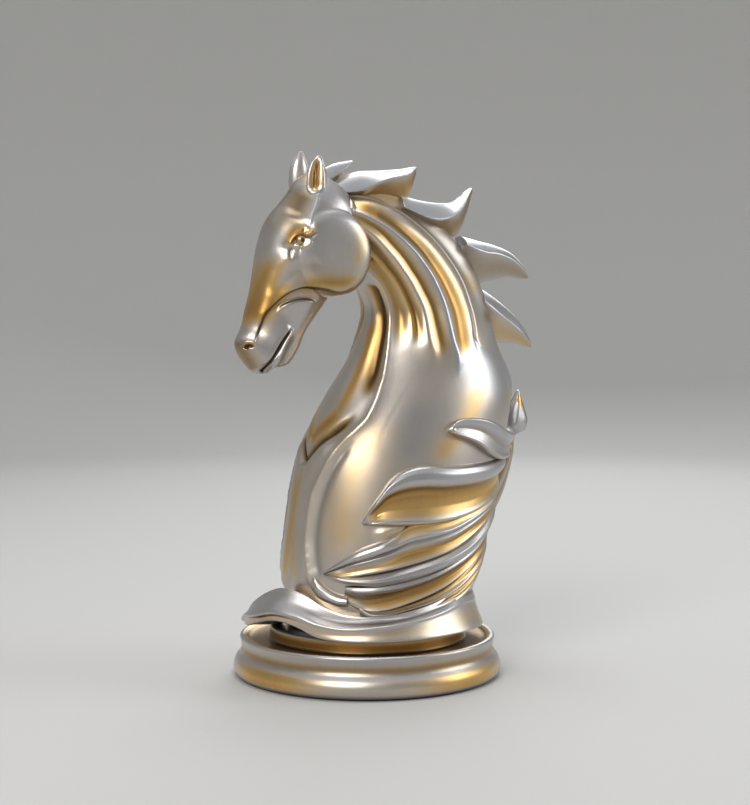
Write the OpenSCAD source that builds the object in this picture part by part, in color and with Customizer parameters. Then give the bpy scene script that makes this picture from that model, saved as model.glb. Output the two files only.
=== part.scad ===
// Horse-head chess knight: a table-top ornament of metal-finished cast resin.
// Frame: +Z up, origin at the middle of the felt's underside, the horse looks along -X
// and its left side faces -Y.

/* [Plinth] */
// Diameter of the rounded foot moulding
foot_d = 165; // [158:1:180]
// Diameter of the upper band under the rim
rim_d = 157; // [150:1:160]
// Height of the rim above the table
rim_h = 25; // [24:0.5:29]
// Height of the plinth's lower edge above the table
foot_lift = 1; // [0.6:0.1:1.4]
// Height of the foot moulding
foot_roll_h = 12; // [10:0.5:12.5]
// Depth of the groove between the foot moulding and the upper band
cove_depth = 0.8; // [0.4:0.1:1.2]
// Radius of the bead that ends the rim
rim_bead = 1.2; // [0.8:0.1:1.6]
// Width of the rim round the dished deck
rim_w = 6; // [5:0.5:8]
// Depth of the dished deck below the rim
dish_depth = 2.6; // [1:0.2:3]
// Diameter of the round collar that carries the horse
collar_d = 120; // [114:1:126]
// Height of the collar above the rim
collar_rise = 6; // [4:0.5:9]
// Chamfer round the top of the collar
collar_chamfer = 1.5; // [0.5:0.5:2.5]
// Side wall of the plinth casting
plinth_wall = 12; // [9:0.5:14]
// Thickness of the deck inside the rim
deck_t = 5; // [4.5:0.5:6]

/* [Underside] */
// Thickness of the board that closes the plinth
cover_t = 3; // [2.5:0.5:4]
// Width of the ledge that the closing board seats on
cover_ledge = 7; // [6.5:0.5:8]
// Clearance round the closing board
cover_fit = 0.3; // [0.1:0.1:0.6]
// Thickness of the felt
felt_t = 2; // [1.6:0.1:2.6]
// Distance of the felt's edge from the edge of the closing board's rebate
felt_inset = 2.5; // [1.5:0.5:8]
// Number of screws in the closing board
cover_screw_n = 4; // [3:1:8]
// Shank diameter of the closing board's screws
cover_screw_d = 3; // [2.5:0.5:3.5]
// Length of the closing board's screws under the head
cover_screw_l = 9; // [6:0.5:11]
// Clearance round the ballast ring
ballast_fit = 4.5; // [2:0.5:9]
// Inner diameter of the ballast ring
ballast_bore = 78; // [74:1:90]
// Thickness of the ballast ring
ballast_t = 9; // [6:0.5:10]

/* [Neck] */
// Height of the horse from its seat to the tip of its taller ear
horse_h = 288; // [275:1:300]
// Wall of the hollow neck casting
neck_wall = 6; // [5:0.5:7.5]
// Gap round the cast core
core_gap = 0.3; // [0.2:0.1:0.8]
// Diameter of the plug that closes the neck's foot
plug_d = 80; // [74:1:82]
// Thickness of the plug
plug_t = 12; // [11:0.5:14]
// Clearance round the plug and the register boss
plug_fit = 0.2; // [0.1:0.1:0.4]
// Diameter of the register boss on the collar
boss_d = 36; // [28:1:42]
// Height of the register boss
boss_h = 5; // [3:0.5:7]
// Number of screws that hold the neck down
body_screw_n = 3; // [3:1:6]
// Shank diameter of those screws
body_screw_d = 5; // [4:0.5:6]
// Reach of those screws into the plug
body_screw_bite = 9; // [7:0.5:10]
// Distance of those screws from the axis
body_screw_r = 29; // [27:0.5:31]

/* [Head joint] */
// Diameter of the steel dowels
dowel_d = 6; // [4:0.5:7]
// Length of the steel dowels
dowel_l = 28; // [22:1:30]
// Distance between the dowels
dowel_spacing = 15; // [12:0.5:17]
// Clearance round a dowel
dowel_fit = 0.1; // [0.05:0.05:0.2]

/* [Robe] */
// How far a fold of the robe stands off the flank
fold_lift = 7; // [5:0.5:9]
// Thickness of the leaf flaps
leaf_lift = 4; // [3:0.5:6]
// Half thickness of the thickest lock of the mane
lock_half_t = 8.5; // [7:0.5:10]
// Greatest height of the mane's mass off the back of the neck
crest_rise = 12; // [9:0.5:14]
// Thickness of the mane's mass along its front edge
crest_edge_t = 0.8; // [0.8:0.1:1.2]

/* [Hidden] */
$fn = 96;
touch = 0.01;
// Depth to which the mane's mass and the folds reach into the neck before they are cut to it
crest_root = 3;
fold_root = 2.5;
silver = [0.72, 0.73, 0.74];
champagne = [0.74, 0.68, 0.58];
gold = [0.76, 0.58, 0.28];
seat_h = rim_h + collar_rise;
deck_z = rim_h - dish_depth - deck_t;
cover_z = felt_t;
cavity_z = cover_z + cover_t;
cavity_d = rim_d - 2 * plinth_wall;
rebate_d = cavity_d + 2 * cover_ledge;
cover_screw_r = cavity_d / 2 + cover_ledge / 2;
felt_d = rebate_d - 2 * felt_inset;
ballast_d = cavity_d - 2 * ballast_fit;
screw_fit = 0.2;
// Every size of the sculpted horse is drawn for a horse 288 mm high and grows with it
k = horse_h / 288;

// ---------- curves and lofts ----------

// Point at t on the smooth curve through a list of points, where t counts the points
function curve_at(points, t) =
    let (
        last = len(points) - 1,
        i = max(0, min(floor(t), last - 1)),
        f = t - i,
        p1 = points[i],
        p2 = points[i + 1],
        p0 = i > 0 ? points[i - 1] : 2 * p1 - p2,
        p3 = i + 2 <= last ? points[i + 2] : 2 * p2 - p1
    )
    0.5 * (2 * p1 + (p2 - p0) * f + (2 * p0 - 5 * p1 + 4 * p2 - p3) * f * f
        + (3 * p1 - p0 - 3 * p2 + p3) * f * f * f);

// The same curve as n + 1 evenly counted points
function smooth(points, n) = [for (i = [0 : n]) curve_at(points, (len(points) - 1) * i / n)];

// Point round a section [front x, front z, back x, back z, half width];
// a turn of 0 is its front, 90 the horse's left side and 180 its back
function section_point(s, turn, grow = 0) =
    let (
        mid = [s[0] + s[2], s[1] + s[3]] / 2,
        half = [s[2] - s[0], s[3] - s[1]] / 2,
        reach = norm(half),
        depth = half * (reach + grow) / reach,
        width = s[4] + grow
    )
    [mid[0] - depth[0] * cos(turn), -width * sin(turn), mid[1] - depth[1] * cos(turn)];

// Skin over rings of points that all have the same count
module skin(rings) {
    sides = len(rings[0]);
    last = len(rings) - 1;
    polyhedron(
        points = [for (ring = rings) each ring],
        faces = concat(
            [[for (j = [0 : sides - 1]) j]],
            [for (i = [0 : last - 1], j = [0 : sides - 1])
                let (a = i * sides + j, b = i * sides + (j + 1) % sides)
                each [[a, a + sides, b], [b, a + sides, b + sides]]],
            [[for (j = [sides - 1 : -1 : 0]) last * sides + j]]
        ),
        convexity = 8
    );
}

// Loft through sections of the form that section_point takes
module loft(sections, n, sides) {
    skin([for (s = smooth(sections, n)) [for (j = [0 : sides - 1]) section_point(s, 360 * j / sides)]]);
}

// Takes freeform solids and their cuts as one faceted shell
module sculpted() {
    resize([0, 0, 0]) children();
}

// ---------- plinth and underside ----------

module ring_of(n, r) {
    for (i = [0 : n - 1]) rotate([0, 0, 45 + 360 * i / n]) translate([r, 0, 0]) children();
}

module felt_pad() {
    color("dimgray") cylinder(h = felt_t, d = felt_d);
}

module base_cover() {
    head_h = cover_screw_d * 0.6;
    color("saddlebrown") difference() {
        translate([0, 0, cover_z]) cylinder(h = cover_t, d = rebate_d - 2 * cover_fit);
        ring_of(cover_screw_n, cover_screw_r) {
            translate([0, 0, cover_z - touch]) cylinder(h = cover_t + 2 * touch, d = cover_screw_d + screw_fit);
            translate([0, 0, cover_z - touch])
                cylinder(h = head_h + touch, d = 2 * cover_screw_d + 2 * screw_fit);
        }
    }
}

module cover_screws() {
    head_h = cover_screw_d * 0.6;
    color("silver") ring_of(cover_screw_n, cover_screw_r) {
        translate([0, 0, cover_z]) cylinder(h = head_h, d = 2 * cover_screw_d);
        translate([0, 0, cover_z]) cylinder(h = head_h + cover_screw_l, d = cover_screw_d);
    }
}

module ballast_ring() {
    color("gray") translate([0, 0, cavity_z]) difference() {
        cylinder(h = ballast_t, d = ballast_d);
        translate([0, 0, -touch]) cylinder(h = ballast_t + 2 * touch, d = ballast_bore);
    }
}

// Turned outline of the plinth, from its lower edge up to the collar
module plinth_outline() {
    foot_r = foot_d / 2;
    rim_r = rim_d / 2;
    collar_r = collar_d / 2;
    roll_r = foot_roll_h * 0.53;
    bulge = foot_roll_h / 6;
    groove_z = foot_lift + foot_roll_h + 2 * cove_depth;
    deck = rim_h - dish_depth;
    polygon(concat(
        [[0, foot_lift], [foot_r - bulge, foot_lift]],
        [for (a = [-60 : 15 : 75])
            [foot_r - bulge + bulge * cos(a), foot_lift + foot_roll_h / 2 + roll_r * sin(a)]],
        [[foot_r - 1.5 * bulge, groove_z - cove_depth], [rim_r, groove_z], [rim_r - cove_depth, groove_z + cove_depth],
            [rim_r - cove_depth, groove_z + 2 * cove_depth], [rim_r, groove_z + 3 * cove_depth]],
        [for (a = [0 : 22.5 : 180]) [rim_r - rim_bead + rim_bead * cos(a), rim_h - rim_bead + rim_bead * sin(a)]],
        [[rim_r - rim_w, deck], [collar_r, deck], [collar_r, seat_h - collar_chamfer],
            [collar_r - collar_chamfer, seat_h], [0, seat_h]]
    ));
}

module plinth() {
    color(champagne) difference() {
        union() {
            rotate_extrude() plinth_outline();
            translate([0, 0, seat_h - touch]) cylinder(h = boss_h + touch, d = boss_d);
        }
        translate([0, 0, -touch]) cylinder(h = deck_z + touch, d = cavity_d);
        translate([0, 0, -touch]) cylinder(h = cavity_z + touch, d = rebate_d);
        ring_of(cover_screw_n, cover_screw_r)
            translate([0, 0, cavity_z - touch]) cylinder(h = cover_screw_l, d = cover_screw_d + screw_fit);
        ring_of(body_screw_n, body_screw_r)
            translate([0, 0, deck_z - touch])
                cylinder(h = seat_h - deck_z + 2 * touch, d = body_screw_d + screw_fit);
    }
}

module body_screws() {
    head_h = body_screw_d * 0.7;
    color("silver") ring_of(body_screw_n, body_screw_r) {
        translate([0, 0, deck_z - head_h]) cylinder(h = head_h, d = 1.8 * body_screw_d);
        translate([0, 0, deck_z - head_h])
            cylinder(h = head_h + seat_h - deck_z + body_screw_bite, d = body_screw_d);
    }
}

module neck_plug() {
    color("burlywood") translate([0, 0, seat_h]) difference() {
        cylinder(h = plug_t, d = plug_d - 2 * plug_fit);
        translate([0, 0, -touch]) cylinder(h = boss_h + plug_fit + touch, d = boss_d + 2 * plug_fit);
        ring_of(body_screw_n, body_screw_r)
            translate([0, 0, -touch]) cylinder(h = body_screw_bite + 0.5, d = body_screw_d + screw_fit);
    }
}

// ---------- neck ----------

// Sections of the neck from its seat to the poll, heights taken from the seat
NECK = k * [
    [-50, 0, 60, 0, 50], [-52, 17, 68, 17, 51], [-52, 39, 74, 39, 53], [-50, 59, 79, 59, 53],
    [-47, 81, 85, 79, 52], [-42, 103, 90, 99, 50], [-35, 123, 95, 117, 47], [-24, 142, 98.5, 137, 43],
    [-12, 160, 94, 157, 38], [-4, 176, 81, 177, 34], [0, 191, 73, 195, 30], [-5, 205, 66, 211, 27],
    [-14, 217, 55, 226, 25], [-22, 226, 40, 240, 24], [-28, 233, 22, 252, 22], [-33, 239, 2, 260, 18],
    [-37, 245, -18, 262, 12]
];
neck_last = len(NECK) - 1;

// Ridges and hollows carved along the neck: [height in mm, half width in degrees, [level, turn] points].
// A level counts the neck's sections, a turn goes round from the front by way of the left side.
NECK_LINES = [
    [2.3, 5, [[1.4, 26], [2.3, 18], [2.9, 16], [3.9, 16.5], [4.7, 22], [5.2, 27], [5.9, 37], [6.9, 43],
        [7.5, 42], [8.7, 38], [9.5, 36], [10.8, 38], [12, 35]]],
    [-3, 6.5, [[6.7, 37], [7.8, 31], [8.6, 28], [10, 24], [10.7, 24], [11.6, 27]]],
    [-2, 9, [[4.8, -3], [5.15, 5], [5.5, 13], [5.8, 20], [6.1, 27], [6.45, 33]]],
    [2.2, 9, [[1.2, 13], [2.3, 7], [3, 5], [3.7, 5], [4.3, 6], [4.85, 9], [5.3, 16], [5.75, 25]]],
    [-1.2, 4.5, [[1.7, 29], [2.3, 25], [3, 22.5], [3.7, 23], [4.3, 25], [4.8, 28], [5.3, 33], [5.7, 38]]],
    [2.5, 6, [[7.5, 91], [8.3, 92], [9.9, 91], [10.8, 92.5], [11.7, 95], [12.5, 96], [13.9, 94.5], [15.1, 94]]],
    [-2.4, 9, [[8, 97], [9, 104], [9.7, 107], [11.1, 108.5], [12.7, 112], [14.3, 111], [15.2, 115]]],
    [-2, 6, [[8, 81], [8.9, 81.5], [10.6, 79.5], [11.4, 80], [12.2, 82], [13.8, 84], [14.8, 84]]],
    [2.2, 6, [[7.7, 75], [8.9, 71], [10.6, 67], [11.6, 68], [13.2, 70], [14, 70]]],
    [-2.2, 5, [[8.4, 65], [9.5, 61.5], [10.2, 60], [11.7, 60.5], [13.3, 60]]],
    [1.6, 4, [[8.5, 59], [10, 56.5], [11.4, 56], [12.8, 51]]],
    [-1.5, 6, [[8.2, 50], [9.3, 46.5], [10.9, 45], [12.5, 44]]]
];
// Turns at which the neck's sections have a corner, closest where the ridges run
NECK_TURNS = [0, 9, 18, 26, 33, 39, 45, 51, 56, 61, 66, 71, 76, 81, 86, 91, 96, 101, 107, 113, 120, 128, 137,
    148, 160, 180];
neck_turns = concat(NECK_TURNS, [for (i = [len(NECK_TURNS) - 2 : -1 : 1]) 360 - NECK_TURNS[i]]);

// Value at a place on the straight lines through [place, value] points, held beyond their ends
function lookup_at(points, place) =
    let (i = max(0, min(len(points) - 2, len([for (p = points) if (p[0] <= place) 1]) - 1)))
    points[i][1] + (points[i + 1][1] - points[i][1])
        * max(0, min(1, (place - points[i][0]) / (points[i + 1][0] - points[i][0])));
function line_fade(points, level) =
    max(0, min(1, (level - points[0][0]) / 0.6, (points[len(points) - 1][0] - level) / 0.6));

// Height of the carving on the neck; both flanks carry the same lines
function carving(level, turn) =
    let (side = turn > 180 ? 360 - turn : turn)
    k * [for (line = NECK_LINES) let (off = (side - lookup_at(line[2], level)) / line[1])
        line[0] * line_fade(line[2], level) * exp(-off * off)] * [for (line = NECK_LINES) 1];

// Sections drawn in by a wall, and lifted from the horse's own heights onto the seat
function inset(s, wall) =
    let (half = [s[2] - s[0], s[3] - s[1]] / 2, pull = half * wall / norm(half))
    [s[0] + pull[0], s[1] + pull[1], s[2] - pull[0], s[3] - pull[1], s[4] - wall];
function seated(s) = [s[0], s[1] + seat_h, s[2], s[3] + seat_h, s[4]];
function seated_all(list) = [for (s = list) seated(k * s)];

// Point on the smooth flank of the neck, without its carving, and a point standing off it
function flank(level, turn) = section_point(seated(curve_at(NECK, level)), turn);
function flank_out(level, turn) =
    let (out = cross(flank(level, turn + 1) - flank(level, turn - 1),
        flank(level + 0.05, turn) - flank(level - 0.05, turn)))
    out / norm(out);
function off_flank(at, height) = flank(at[0], at[1]) + flank_out(at[0], at[1]) * height;

// The neck as a solid, before it is hollowed and before the head's seat is cut
module neck_form() {
    rings = 36;
    difference() {
        skin([for (i = [0 : rings])
            let (level = neck_last * i / rings, s = seated(curve_at(NECK, level)))
            [for (turn = neck_turns) section_point(s, turn, carving(level, turn))]]);
        head_side();
    }
}

// Flat seat of the head: all of the neck's top in front of this plane is cut away
head_seat_x = -18 * k;
head_seat_z = seat_h + 232 * k;
head_seat_low = seat_h + 197 * k;
module head_side() {
    room = horse_h / 2;
    translate([head_seat_x - room, -room / 2, head_seat_low]) cube(room);
}

// Room inside the neck casting; it opens at the foot, through the plug's bore
module neck_room(gap) {
    top = 10.6;
    room_z = seat_h + plug_t;
    first = curve_at(NECK, 0.7);
    room = [for (i = [0 : 12]) seated(inset(curve_at(NECK, lerp(1.1, top, i / 12)), neck_wall + gap))];
    ledge = inset(first, neck_wall + gap);
    foot = [ledge[0], room_z, ledge[2], room_z, ledge[4]];
    throat_r = plug_d / 2 - 3;
    throat = [for (z = [seat_h - 1, room_z - 0.6]) [-throat_r, z, throat_r, z, throat_r]];
    rings = gap > 0 ? concat([foot], room) : concat(throat, [foot], room);
    sides = 20;
    skin([for (s = rings) [for (j = [0 : sides - 1]) section_point(s, 360 * j / sides)]]);
}

function lerp(a, b, f) = a + (b - a) * f;

module neck_core() {
    color("whitesmoke") neck_room(core_gap);
}

module neck_shell() {
    color(silver) difference() {
        sculpted() difference() {
            neck_form();
            neck_room(0);
        }
        translate([0, 0, seat_h - touch]) cylinder(h = plug_t + touch, d = plug_d);
        dowel_bores();
    }
}

// ---------- head ----------

module dowel_places() {
    for (side = [-1, 1])
        translate([head_seat_x, 0, head_seat_z + side * dowel_spacing / 2]) rotate([0, 90, 0]) children();
}

module dowel_bores() {
    dowel_places() cylinder(h = dowel_l + 1, d = dowel_d + 2 * dowel_fit, center = true);
}

module head_dowels() {
    color("silver") dowel_places() cylinder(h = dowel_l, d = dowel_d, center = true);
}

// Sections of the head [nose line x, z, jaw line x, z, half width] from the muzzle to the poll
HEAD = [
    [-77.5, 156, -66, 156.5, 6], [-84.5, 164.5, -57.5, 158.5, 11], [-87.5, 173.5, -53, 161, 12.6],
    [-84, 181, -47.5, 169, 13], [-80, 192, -43, 179, 14.2], [-77, 204, -36, 188.5, 16.5],
    [-75, 217, -26.5, 199, 20], [-72.5, 230, -17, 208, 23.5], [-67.5, 244, -11, 218, 24.5],
    [-58, 257, -8, 232, 22.5], [-47, 270, -8, 246, 18], [-38, 276, -12, 258, 11]
];
// Round cheek plates that overlap the neck behind the seat, and their edge as [share of the radius,
// distance from the plate's middle plane]
CHEEK = [-32, 226];
cheek_r = 25;
cheek_y = 11;
CHEEK_EDGE = [[0, 0], [1, 0], [1, 6], [0.965, 9.5], [0.87, 12.3], [0.62, 14.3], [0, 15]];

module head_form() {
    loft(seated_all(HEAD), 20, 24);
    for (side = [-1, 1])
        translate([k * CHEEK[0], side * cheek_y * k, seat_h + k * CHEEK[1]]) rotate([-side * 90, 0, 0])
            scale([1, 1.06, 1]) rotate_extrude($fn = 24)
                polygon([for (q = CHEEK_EDGE) k * [q[0] * cheek_r, q[1]]]);
}

module head() {
    color(champagne) difference() {
        sculpted() difference() {
            head_form();
            neck_form();
        }
        dowel_bores();
    }
}

// Ear as a leaf that stands on the skull; lean is the height of its tip over the other
EAR = [[-46, 0, -35, 0, 4.5], [-46.5, 6, -34, 6, 5], [-46, 13, -34, 13, 4.6], [-44, 19, -35.5, 19, 3.4],
    [-40.5, 24.5, -37.5, 24.5, 1.2]];
ear_y = 12.5;
// Hollow of the ear: centre x, z and its distance beside the ear's middle, and its radius
EAR_HOLLOW = [-44, 14, 3.4];
ear_hollow_r = 5.5;
module ear(side, foot_z) {
    sculpted() difference() {
        translate([0, side * ear_y * k, seat_h + foot_z * k]) difference() {
            loft(k * EAR, 8, 14);
            translate(k * [EAR_HOLLOW[0], side * EAR_HOLLOW[2], EAR_HOLLOW[1]])
                scale([0.7, 0.55, 1.6]) sphere(r = ear_hollow_r * k, $fn = 14);
        }
        head_form();
        neck_form();
    }
}

module left_ear() {
    color(silver) ear(-1, 259);
}

module right_ear() {
    color(silver) ear(1, 263.5);
}

// ---------- mane ----------

// Mane's mass on the back of the neck: turn of its front edge at each level, and share of crest_rise
CREST_EDGE = [[6.2, 168], [7, 152], [7.6, 136], [8.1, 122], [8.5, 116], [8.9, 118], [9.35, 124], [9.8, 128],
    [10.3, 131], [10.9, 134.5], [11.6, 138], [12.3, 142], [13.1, 147], [13.7, 151.5], [14.3, 158], [14.9, 163],
    [15.3, 166.5], [15.8, 170]];
CREST_RISE = [[6.2, 0.25], [6.8, 0.42], [7.4, 0.54], [7.9, 0.35], [8.4, 0.28], [9, 0.67], [10, 0.87], [11, 0.87],
    [12, 1], [13, 0.83], [14, 0.67], [15, 0.58], [15.8, 0.5]];
TUFT = [[-31, 263, -30, 277, 4], [-24, 268, -23, 280.5, 4.5], [-15, 276, -15, 282.3, 3],
    [-10.5, 281.6, -10.5, 283, 1.2]];
LOCK_1 = [[-27, 262, -25, 269, 6], [-10, 260, -9, 276, 9], [8, 258, 8, 277.6, 9.5], [22, 257, 22, 279, 8.5],
    [30, 264, 29, 280.3, 6], [34.3, 276, 33.5, 281, 2]];
LOCK_2 = [[20, 253, 22, 263, 10], [38, 243, 42, 259.6, 11.5], [52, 235, 57, 259.4, 10], [64, 239, 64, 262.8, 8],
    [71, 252, 68.5, 266.5, 5], [75.5, 266.6, 73.4, 269.4, 1.8]];
LOCK_3 = [[60, 221, 66, 239, 13], [74, 210, 80, 236, 11.5], [88, 211, 92, 233.4, 9], [101, 213.5, 104, 229, 6.5],
    [111, 212.5, 113, 221.5, 4], [116.6, 212.7, 117.4, 215, 1.6]];
LOCK_4 = [[72, 184, 80, 207, 14], [84, 173, 92, 200, 12], [97, 171.5, 102, 193, 8.5], [108, 170.7, 112, 184, 6],
    [116, 168.7, 118, 175.5, 3.2], [119, 168.2, 120.2, 170.2, 1.4]];

// Locks are listed as [lower edge x, z, upper edge x, z, half thickness]; this turns them to the
// loft's order and brings their half thickness to its own size
function thickened(list, ratio) = [for (s = list) [s[2], s[3], s[0], s[1], s[4] * ratio]];

module crest_form() {
    rings = 22;
    sides = 12;
    last = len(CREST_EDGE) - 1;
    skin([for (i = [0 : rings])
        let (
            level = lerp(CREST_EDGE[0][0], CREST_EDGE[last][0], i / rings),
            edge = lookup_at(CREST_EDGE, level),
            rise = crest_rise * lookup_at(CREST_RISE, level)
        )
        concat(
            [for (j = [0 : sides])
                off_flank([level, lerp(edge, 360 - edge, j / sides)],
                    crest_edge_t + rise * pow(sin(180 * j / sides), 3.2))],
            [for (turn = [360 - edge, 180, edge]) off_flank([level, turn], -crest_root)]
        )]);
}

module lock_form(list) {
    loft(seated_all(thickened(list, lock_half_t / (8.5 * k))), 10, 12);
}

// A lock is cut where it meets the neck, the head, the crest and the lock above it
module lock(list, above) {
    sculpted() difference() {
        lock_form(list);
        neck_form();
        head_form();
        crest_form();
        if (len(above) > 0) lock_form(above);
    }
}

module mane_crest() {
    color(champagne) sculpted() difference() {
        crest_form();
        neck_form();
        head_form();
        roll_form(KNOT, fold_lift);
    }
}

module poll_tuft() {
    color(silver) sculpted() difference() {
        lock_form(TUFT);
        neck_form();
        head_form();
        crest_form();
        lock_form(LOCK_1);
        left_ear();
        right_ear();
    }
}

module mane_lock_1() {
    color(silver) lock(LOCK_1, []);
}

module mane_lock_2() {
    color(silver) lock(LOCK_2, LOCK_1);
}

module mane_lock_3() {
    color(silver) lock(LOCK_3, LOCK_2);
}

module mane_lock_4() {
    color(silver) lock(LOCK_4, LOCK_3);
}

// ---------- robe ----------

// How a fold rises across, from its upper edge at 1 to its lower edge at -1, as shares of its lift
PANEL = [[1, 0], [0.88, 0.72], [0.6, 1], [0.28, 0.72], [0.1, 0.26], [-0.4, 0.24], [-0.86, 0.56], [-1, 0]];
DOUBLE = [[1, 0], [0.82, 0.36], [0.3, 0.76], [0.08, 0.48], [-0.08, 0.66], [-0.45, 0.28], [-0.84, 0.58], [-1, 0]];
ROLL = [[1, 0], [0.7, 0.5], [0.3, 0.88], [-0.1, 0.94], [-0.5, 0.78], [-0.85, 0.46], [-1, 0]];
VALLEY = [[1, 0], [0.82, 0.54], [0.56, 0.66], [0.25, 0.28], [-0.15, 0.2], [-0.5, 0.22], [-0.82, 0.56], [-1, 0]];
PLEATS = [[1, 0], [0.8, 0.32], [0.35, 0.72], [0, 0.34], [-0.28, 0.66], [-0.56, 0.32], [-0.82, 0.5], [-1, 0]];
// Share of fold_lift along a fold, from its tip to its end at the knot
FOLD_RISE = [[0, 0.34], [0.06, 0.74], [0.2, 1.03], [0.55, 0.97], [0.75, 0.66], [1, 0.4]];

// Each fold: its upper edge and its lower edge on the flank as [level, turn], and how it rises across
FOLD_1 = [
    [[3.42, 50.5], [3.8, 54], [4.2, 58.5], [4.6, 63], [4.88, 70], [5, 80], [4.98, 96], [5, 112], [5.03, 128],
        [5.12, 150], [5.15, 170]],
    [[3.34, 51.5], [3.33, 55], [3.33, 59], [3.32, 64], [3.3, 72], [3.29, 81], [3.31, 92], [3.4, 106],
        [3.62, 124], [4.05, 147], [4.4, 168]],
    PANEL
];
FOLD_2 = [
    [[1.95, 31], [2.38, 43], [2.7, 52], [2.92, 62], [3.12, 70], [3.4, 78], [3.45, 88], [3.5, 100], [3.7, 114],
        [3.9, 128], [4.25, 148], [4.55, 168]],
    [[1.86, 32], [1.82, 40], [1.84, 48], [1.9, 56], [1.98, 66], [2.12, 79], [2.28, 91], [2.5, 105], [2.85, 120],
        [3.2, 134], [3.6, 150], [4, 168]],
    DOUBLE
];
FOLD_3 = [
    [[1.9, 32], [1.9, 42], [1.92, 52], [1.98, 62], [2.08, 72], [2.24, 84], [2.42, 97], [2.68, 112], [3, 126],
        [3.4, 142], [3.75, 156], [4.05, 168]],
    [[1.8, 33], [1.69, 43], [1.62, 54], [1.6, 64], [1.66, 74], [1.78, 86], [1.93, 97], [2.15, 111], [2.42, 125],
        [2.82, 140], [3.2, 154], [3.6, 168]],
    ROLL
];
FOLD_4 = [
    [[1.62, 45], [1.64, 54], [1.68, 63], [1.75, 74], [1.87, 86], [2.02, 98], [2.27, 112], [2.58, 128],
        [3.03, 146], [3.5, 168]],
    [[1.22, 45], [1, 52], [0.88, 60], [0.92, 70], [1.08, 80], [1.26, 91], [1.5, 105], [1.85, 121], [2.3, 142],
        [2.9, 168]],
    VALLEY
];
FOLD_5 = [
    [[1.12, 54], [0.98, 60], [0.98, 68], [1.08, 77], [1.22, 88], [1.42, 101], [1.75, 117], [2.1, 133],
        [2.5, 150], [3, 168]],
    [[0.72, 55], [0.55, 62], [0.5, 71], [0.58, 82], [0.72, 94], [0.9, 108], [1.1, 122], [1.4, 136], [1.8, 152],
        [2.3, 168]],
    PLEATS
];

// Rolls lie along a path on the flank: [level, turn, half width in mm, share of their lift]
HEM_ROLL = [[1.66, 23, 3, 0.4], [1.45, 28.5, 4.2, 0.55], [1.32, 35, 4.4, 0.7], [1.23, 41, 4.2, 0.7],
    [1.2, 46.5, 3.2, 0.5]];
LEAF = [[6.0, 88, 1.5, 0.3], [6.2, 100, 6, 0.8], [6.0, 114, 9, 1], [5.7, 130, 9, 1], [5.4, 146, 7, 1]];
KNOT = [[3.3, 178, 5, 0.5], [4.1, 178, 9, 1.3], [4.9, 178, 13, 1.9], [5.6, 178, 13, 1.9], [6.1, 178, 8, 1.2]];

// Rings round a roll's path, each across the path and standing off the flank
function roll_rings(path, lift, n, sides) =
    [for (i = [0 : n])
        let (
            t = (len(path) - 1) * i / n,
            here = curve_at(path, t),
            ahead = curve_at(path, min(t + 0.1, len(path) - 1)),
            behind = curve_at(path, max(t - 0.1, 0)),
            at = flank(here[0], here[1]),
            along = flank(ahead[0], ahead[1]) - flank(behind[0], behind[1]),
            proud = flank_out(here[0], here[1]),
            over = cross(proud, along),
            across = over / norm(over)
        )
        [for (j = [0 : sides - 1])
            let (turn = 360 * j / sides)
            at + across * k * here[2] * cos(turn) + proud * lift * here[3] * sin(turn)]];

module roll_form(path, lift) {
    skin(roll_rings(path, lift, 12, 12));
}

// Rings across a fold from its upper to its lower edge, closed under the flank; its tip is round
function fold_rings(fold, n) =
    [for (i = [0 : n])
        let (
            share = i / n,
            high = curve_at(fold[0], (len(fold[0]) - 1) * share),
            low = curve_at(fold[1], (len(fold[1]) - 1) * share),
            rise = fold_lift * lookup_at(FOLD_RISE, share),
            early = max(0, 1 - share / 0.15)
        )
        concat(
            [for (q = fold[2])
                off_flank(lerp(low, high, (1 + q[0]) / 2), rise * lerp(q[1], sqrt(1 - q[0] * q[0]), early))],
            [for (a = [-0.6, 0.6]) off_flank(lerp(low, high, (1 + a) / 2), -fold_root)]
        )];

module fold_form(fold) {
    skin(fold_rings(fold, 13));
}

module on_side(side) {
    if (side > 0) mirror([0, 1, 0]) children();
    else children();
}

// A fold of one flank, cut by the neck, the skirt and the fold above it
module fold(path, above, side) {
    color(gold) sculpted() difference() {
        on_side(side) fold_form(path);
        neck_form();
        skirt_form();
        roll_form(KNOT, fold_lift);
        for (other = above) on_side(side) fold_form(other);
    }
}

module left_fold_1() fold(FOLD_1, [], -1);
module left_fold_2() fold(FOLD_2, [FOLD_1], -1);
module left_fold_3() fold(FOLD_3, [FOLD_1, FOLD_2], -1);
module left_fold_4() fold(FOLD_4, [FOLD_2, FOLD_3], -1);
module left_fold_5() fold(FOLD_5, [FOLD_3, FOLD_4], -1);
module right_fold_1() fold(FOLD_1, [], 1);
module right_fold_2() fold(FOLD_2, [FOLD_1], 1);
module right_fold_3() fold(FOLD_3, [FOLD_1, FOLD_2], 1);
module right_fold_4() fold(FOLD_4, [FOLD_2, FOLD_3], 1);
module right_fold_5() fold(FOLD_5, [FOLD_3, FOLD_4], 1);

module leaf(side) {
    color(silver) sculpted() difference() {
        on_side(side) roll_form(LEAF, leaf_lift);
        neck_form();
        crest_form();
        roll_form(KNOT, fold_lift);
        on_side(side) fold_form(FOLD_1);
    }
}

module left_leaf() leaf(-1);
module right_leaf() leaf(1);

module robe_knot() {
    color(champagne) sculpted() difference() {
        roll_form(KNOT, fold_lift);
        neck_form();
    }
}

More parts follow.
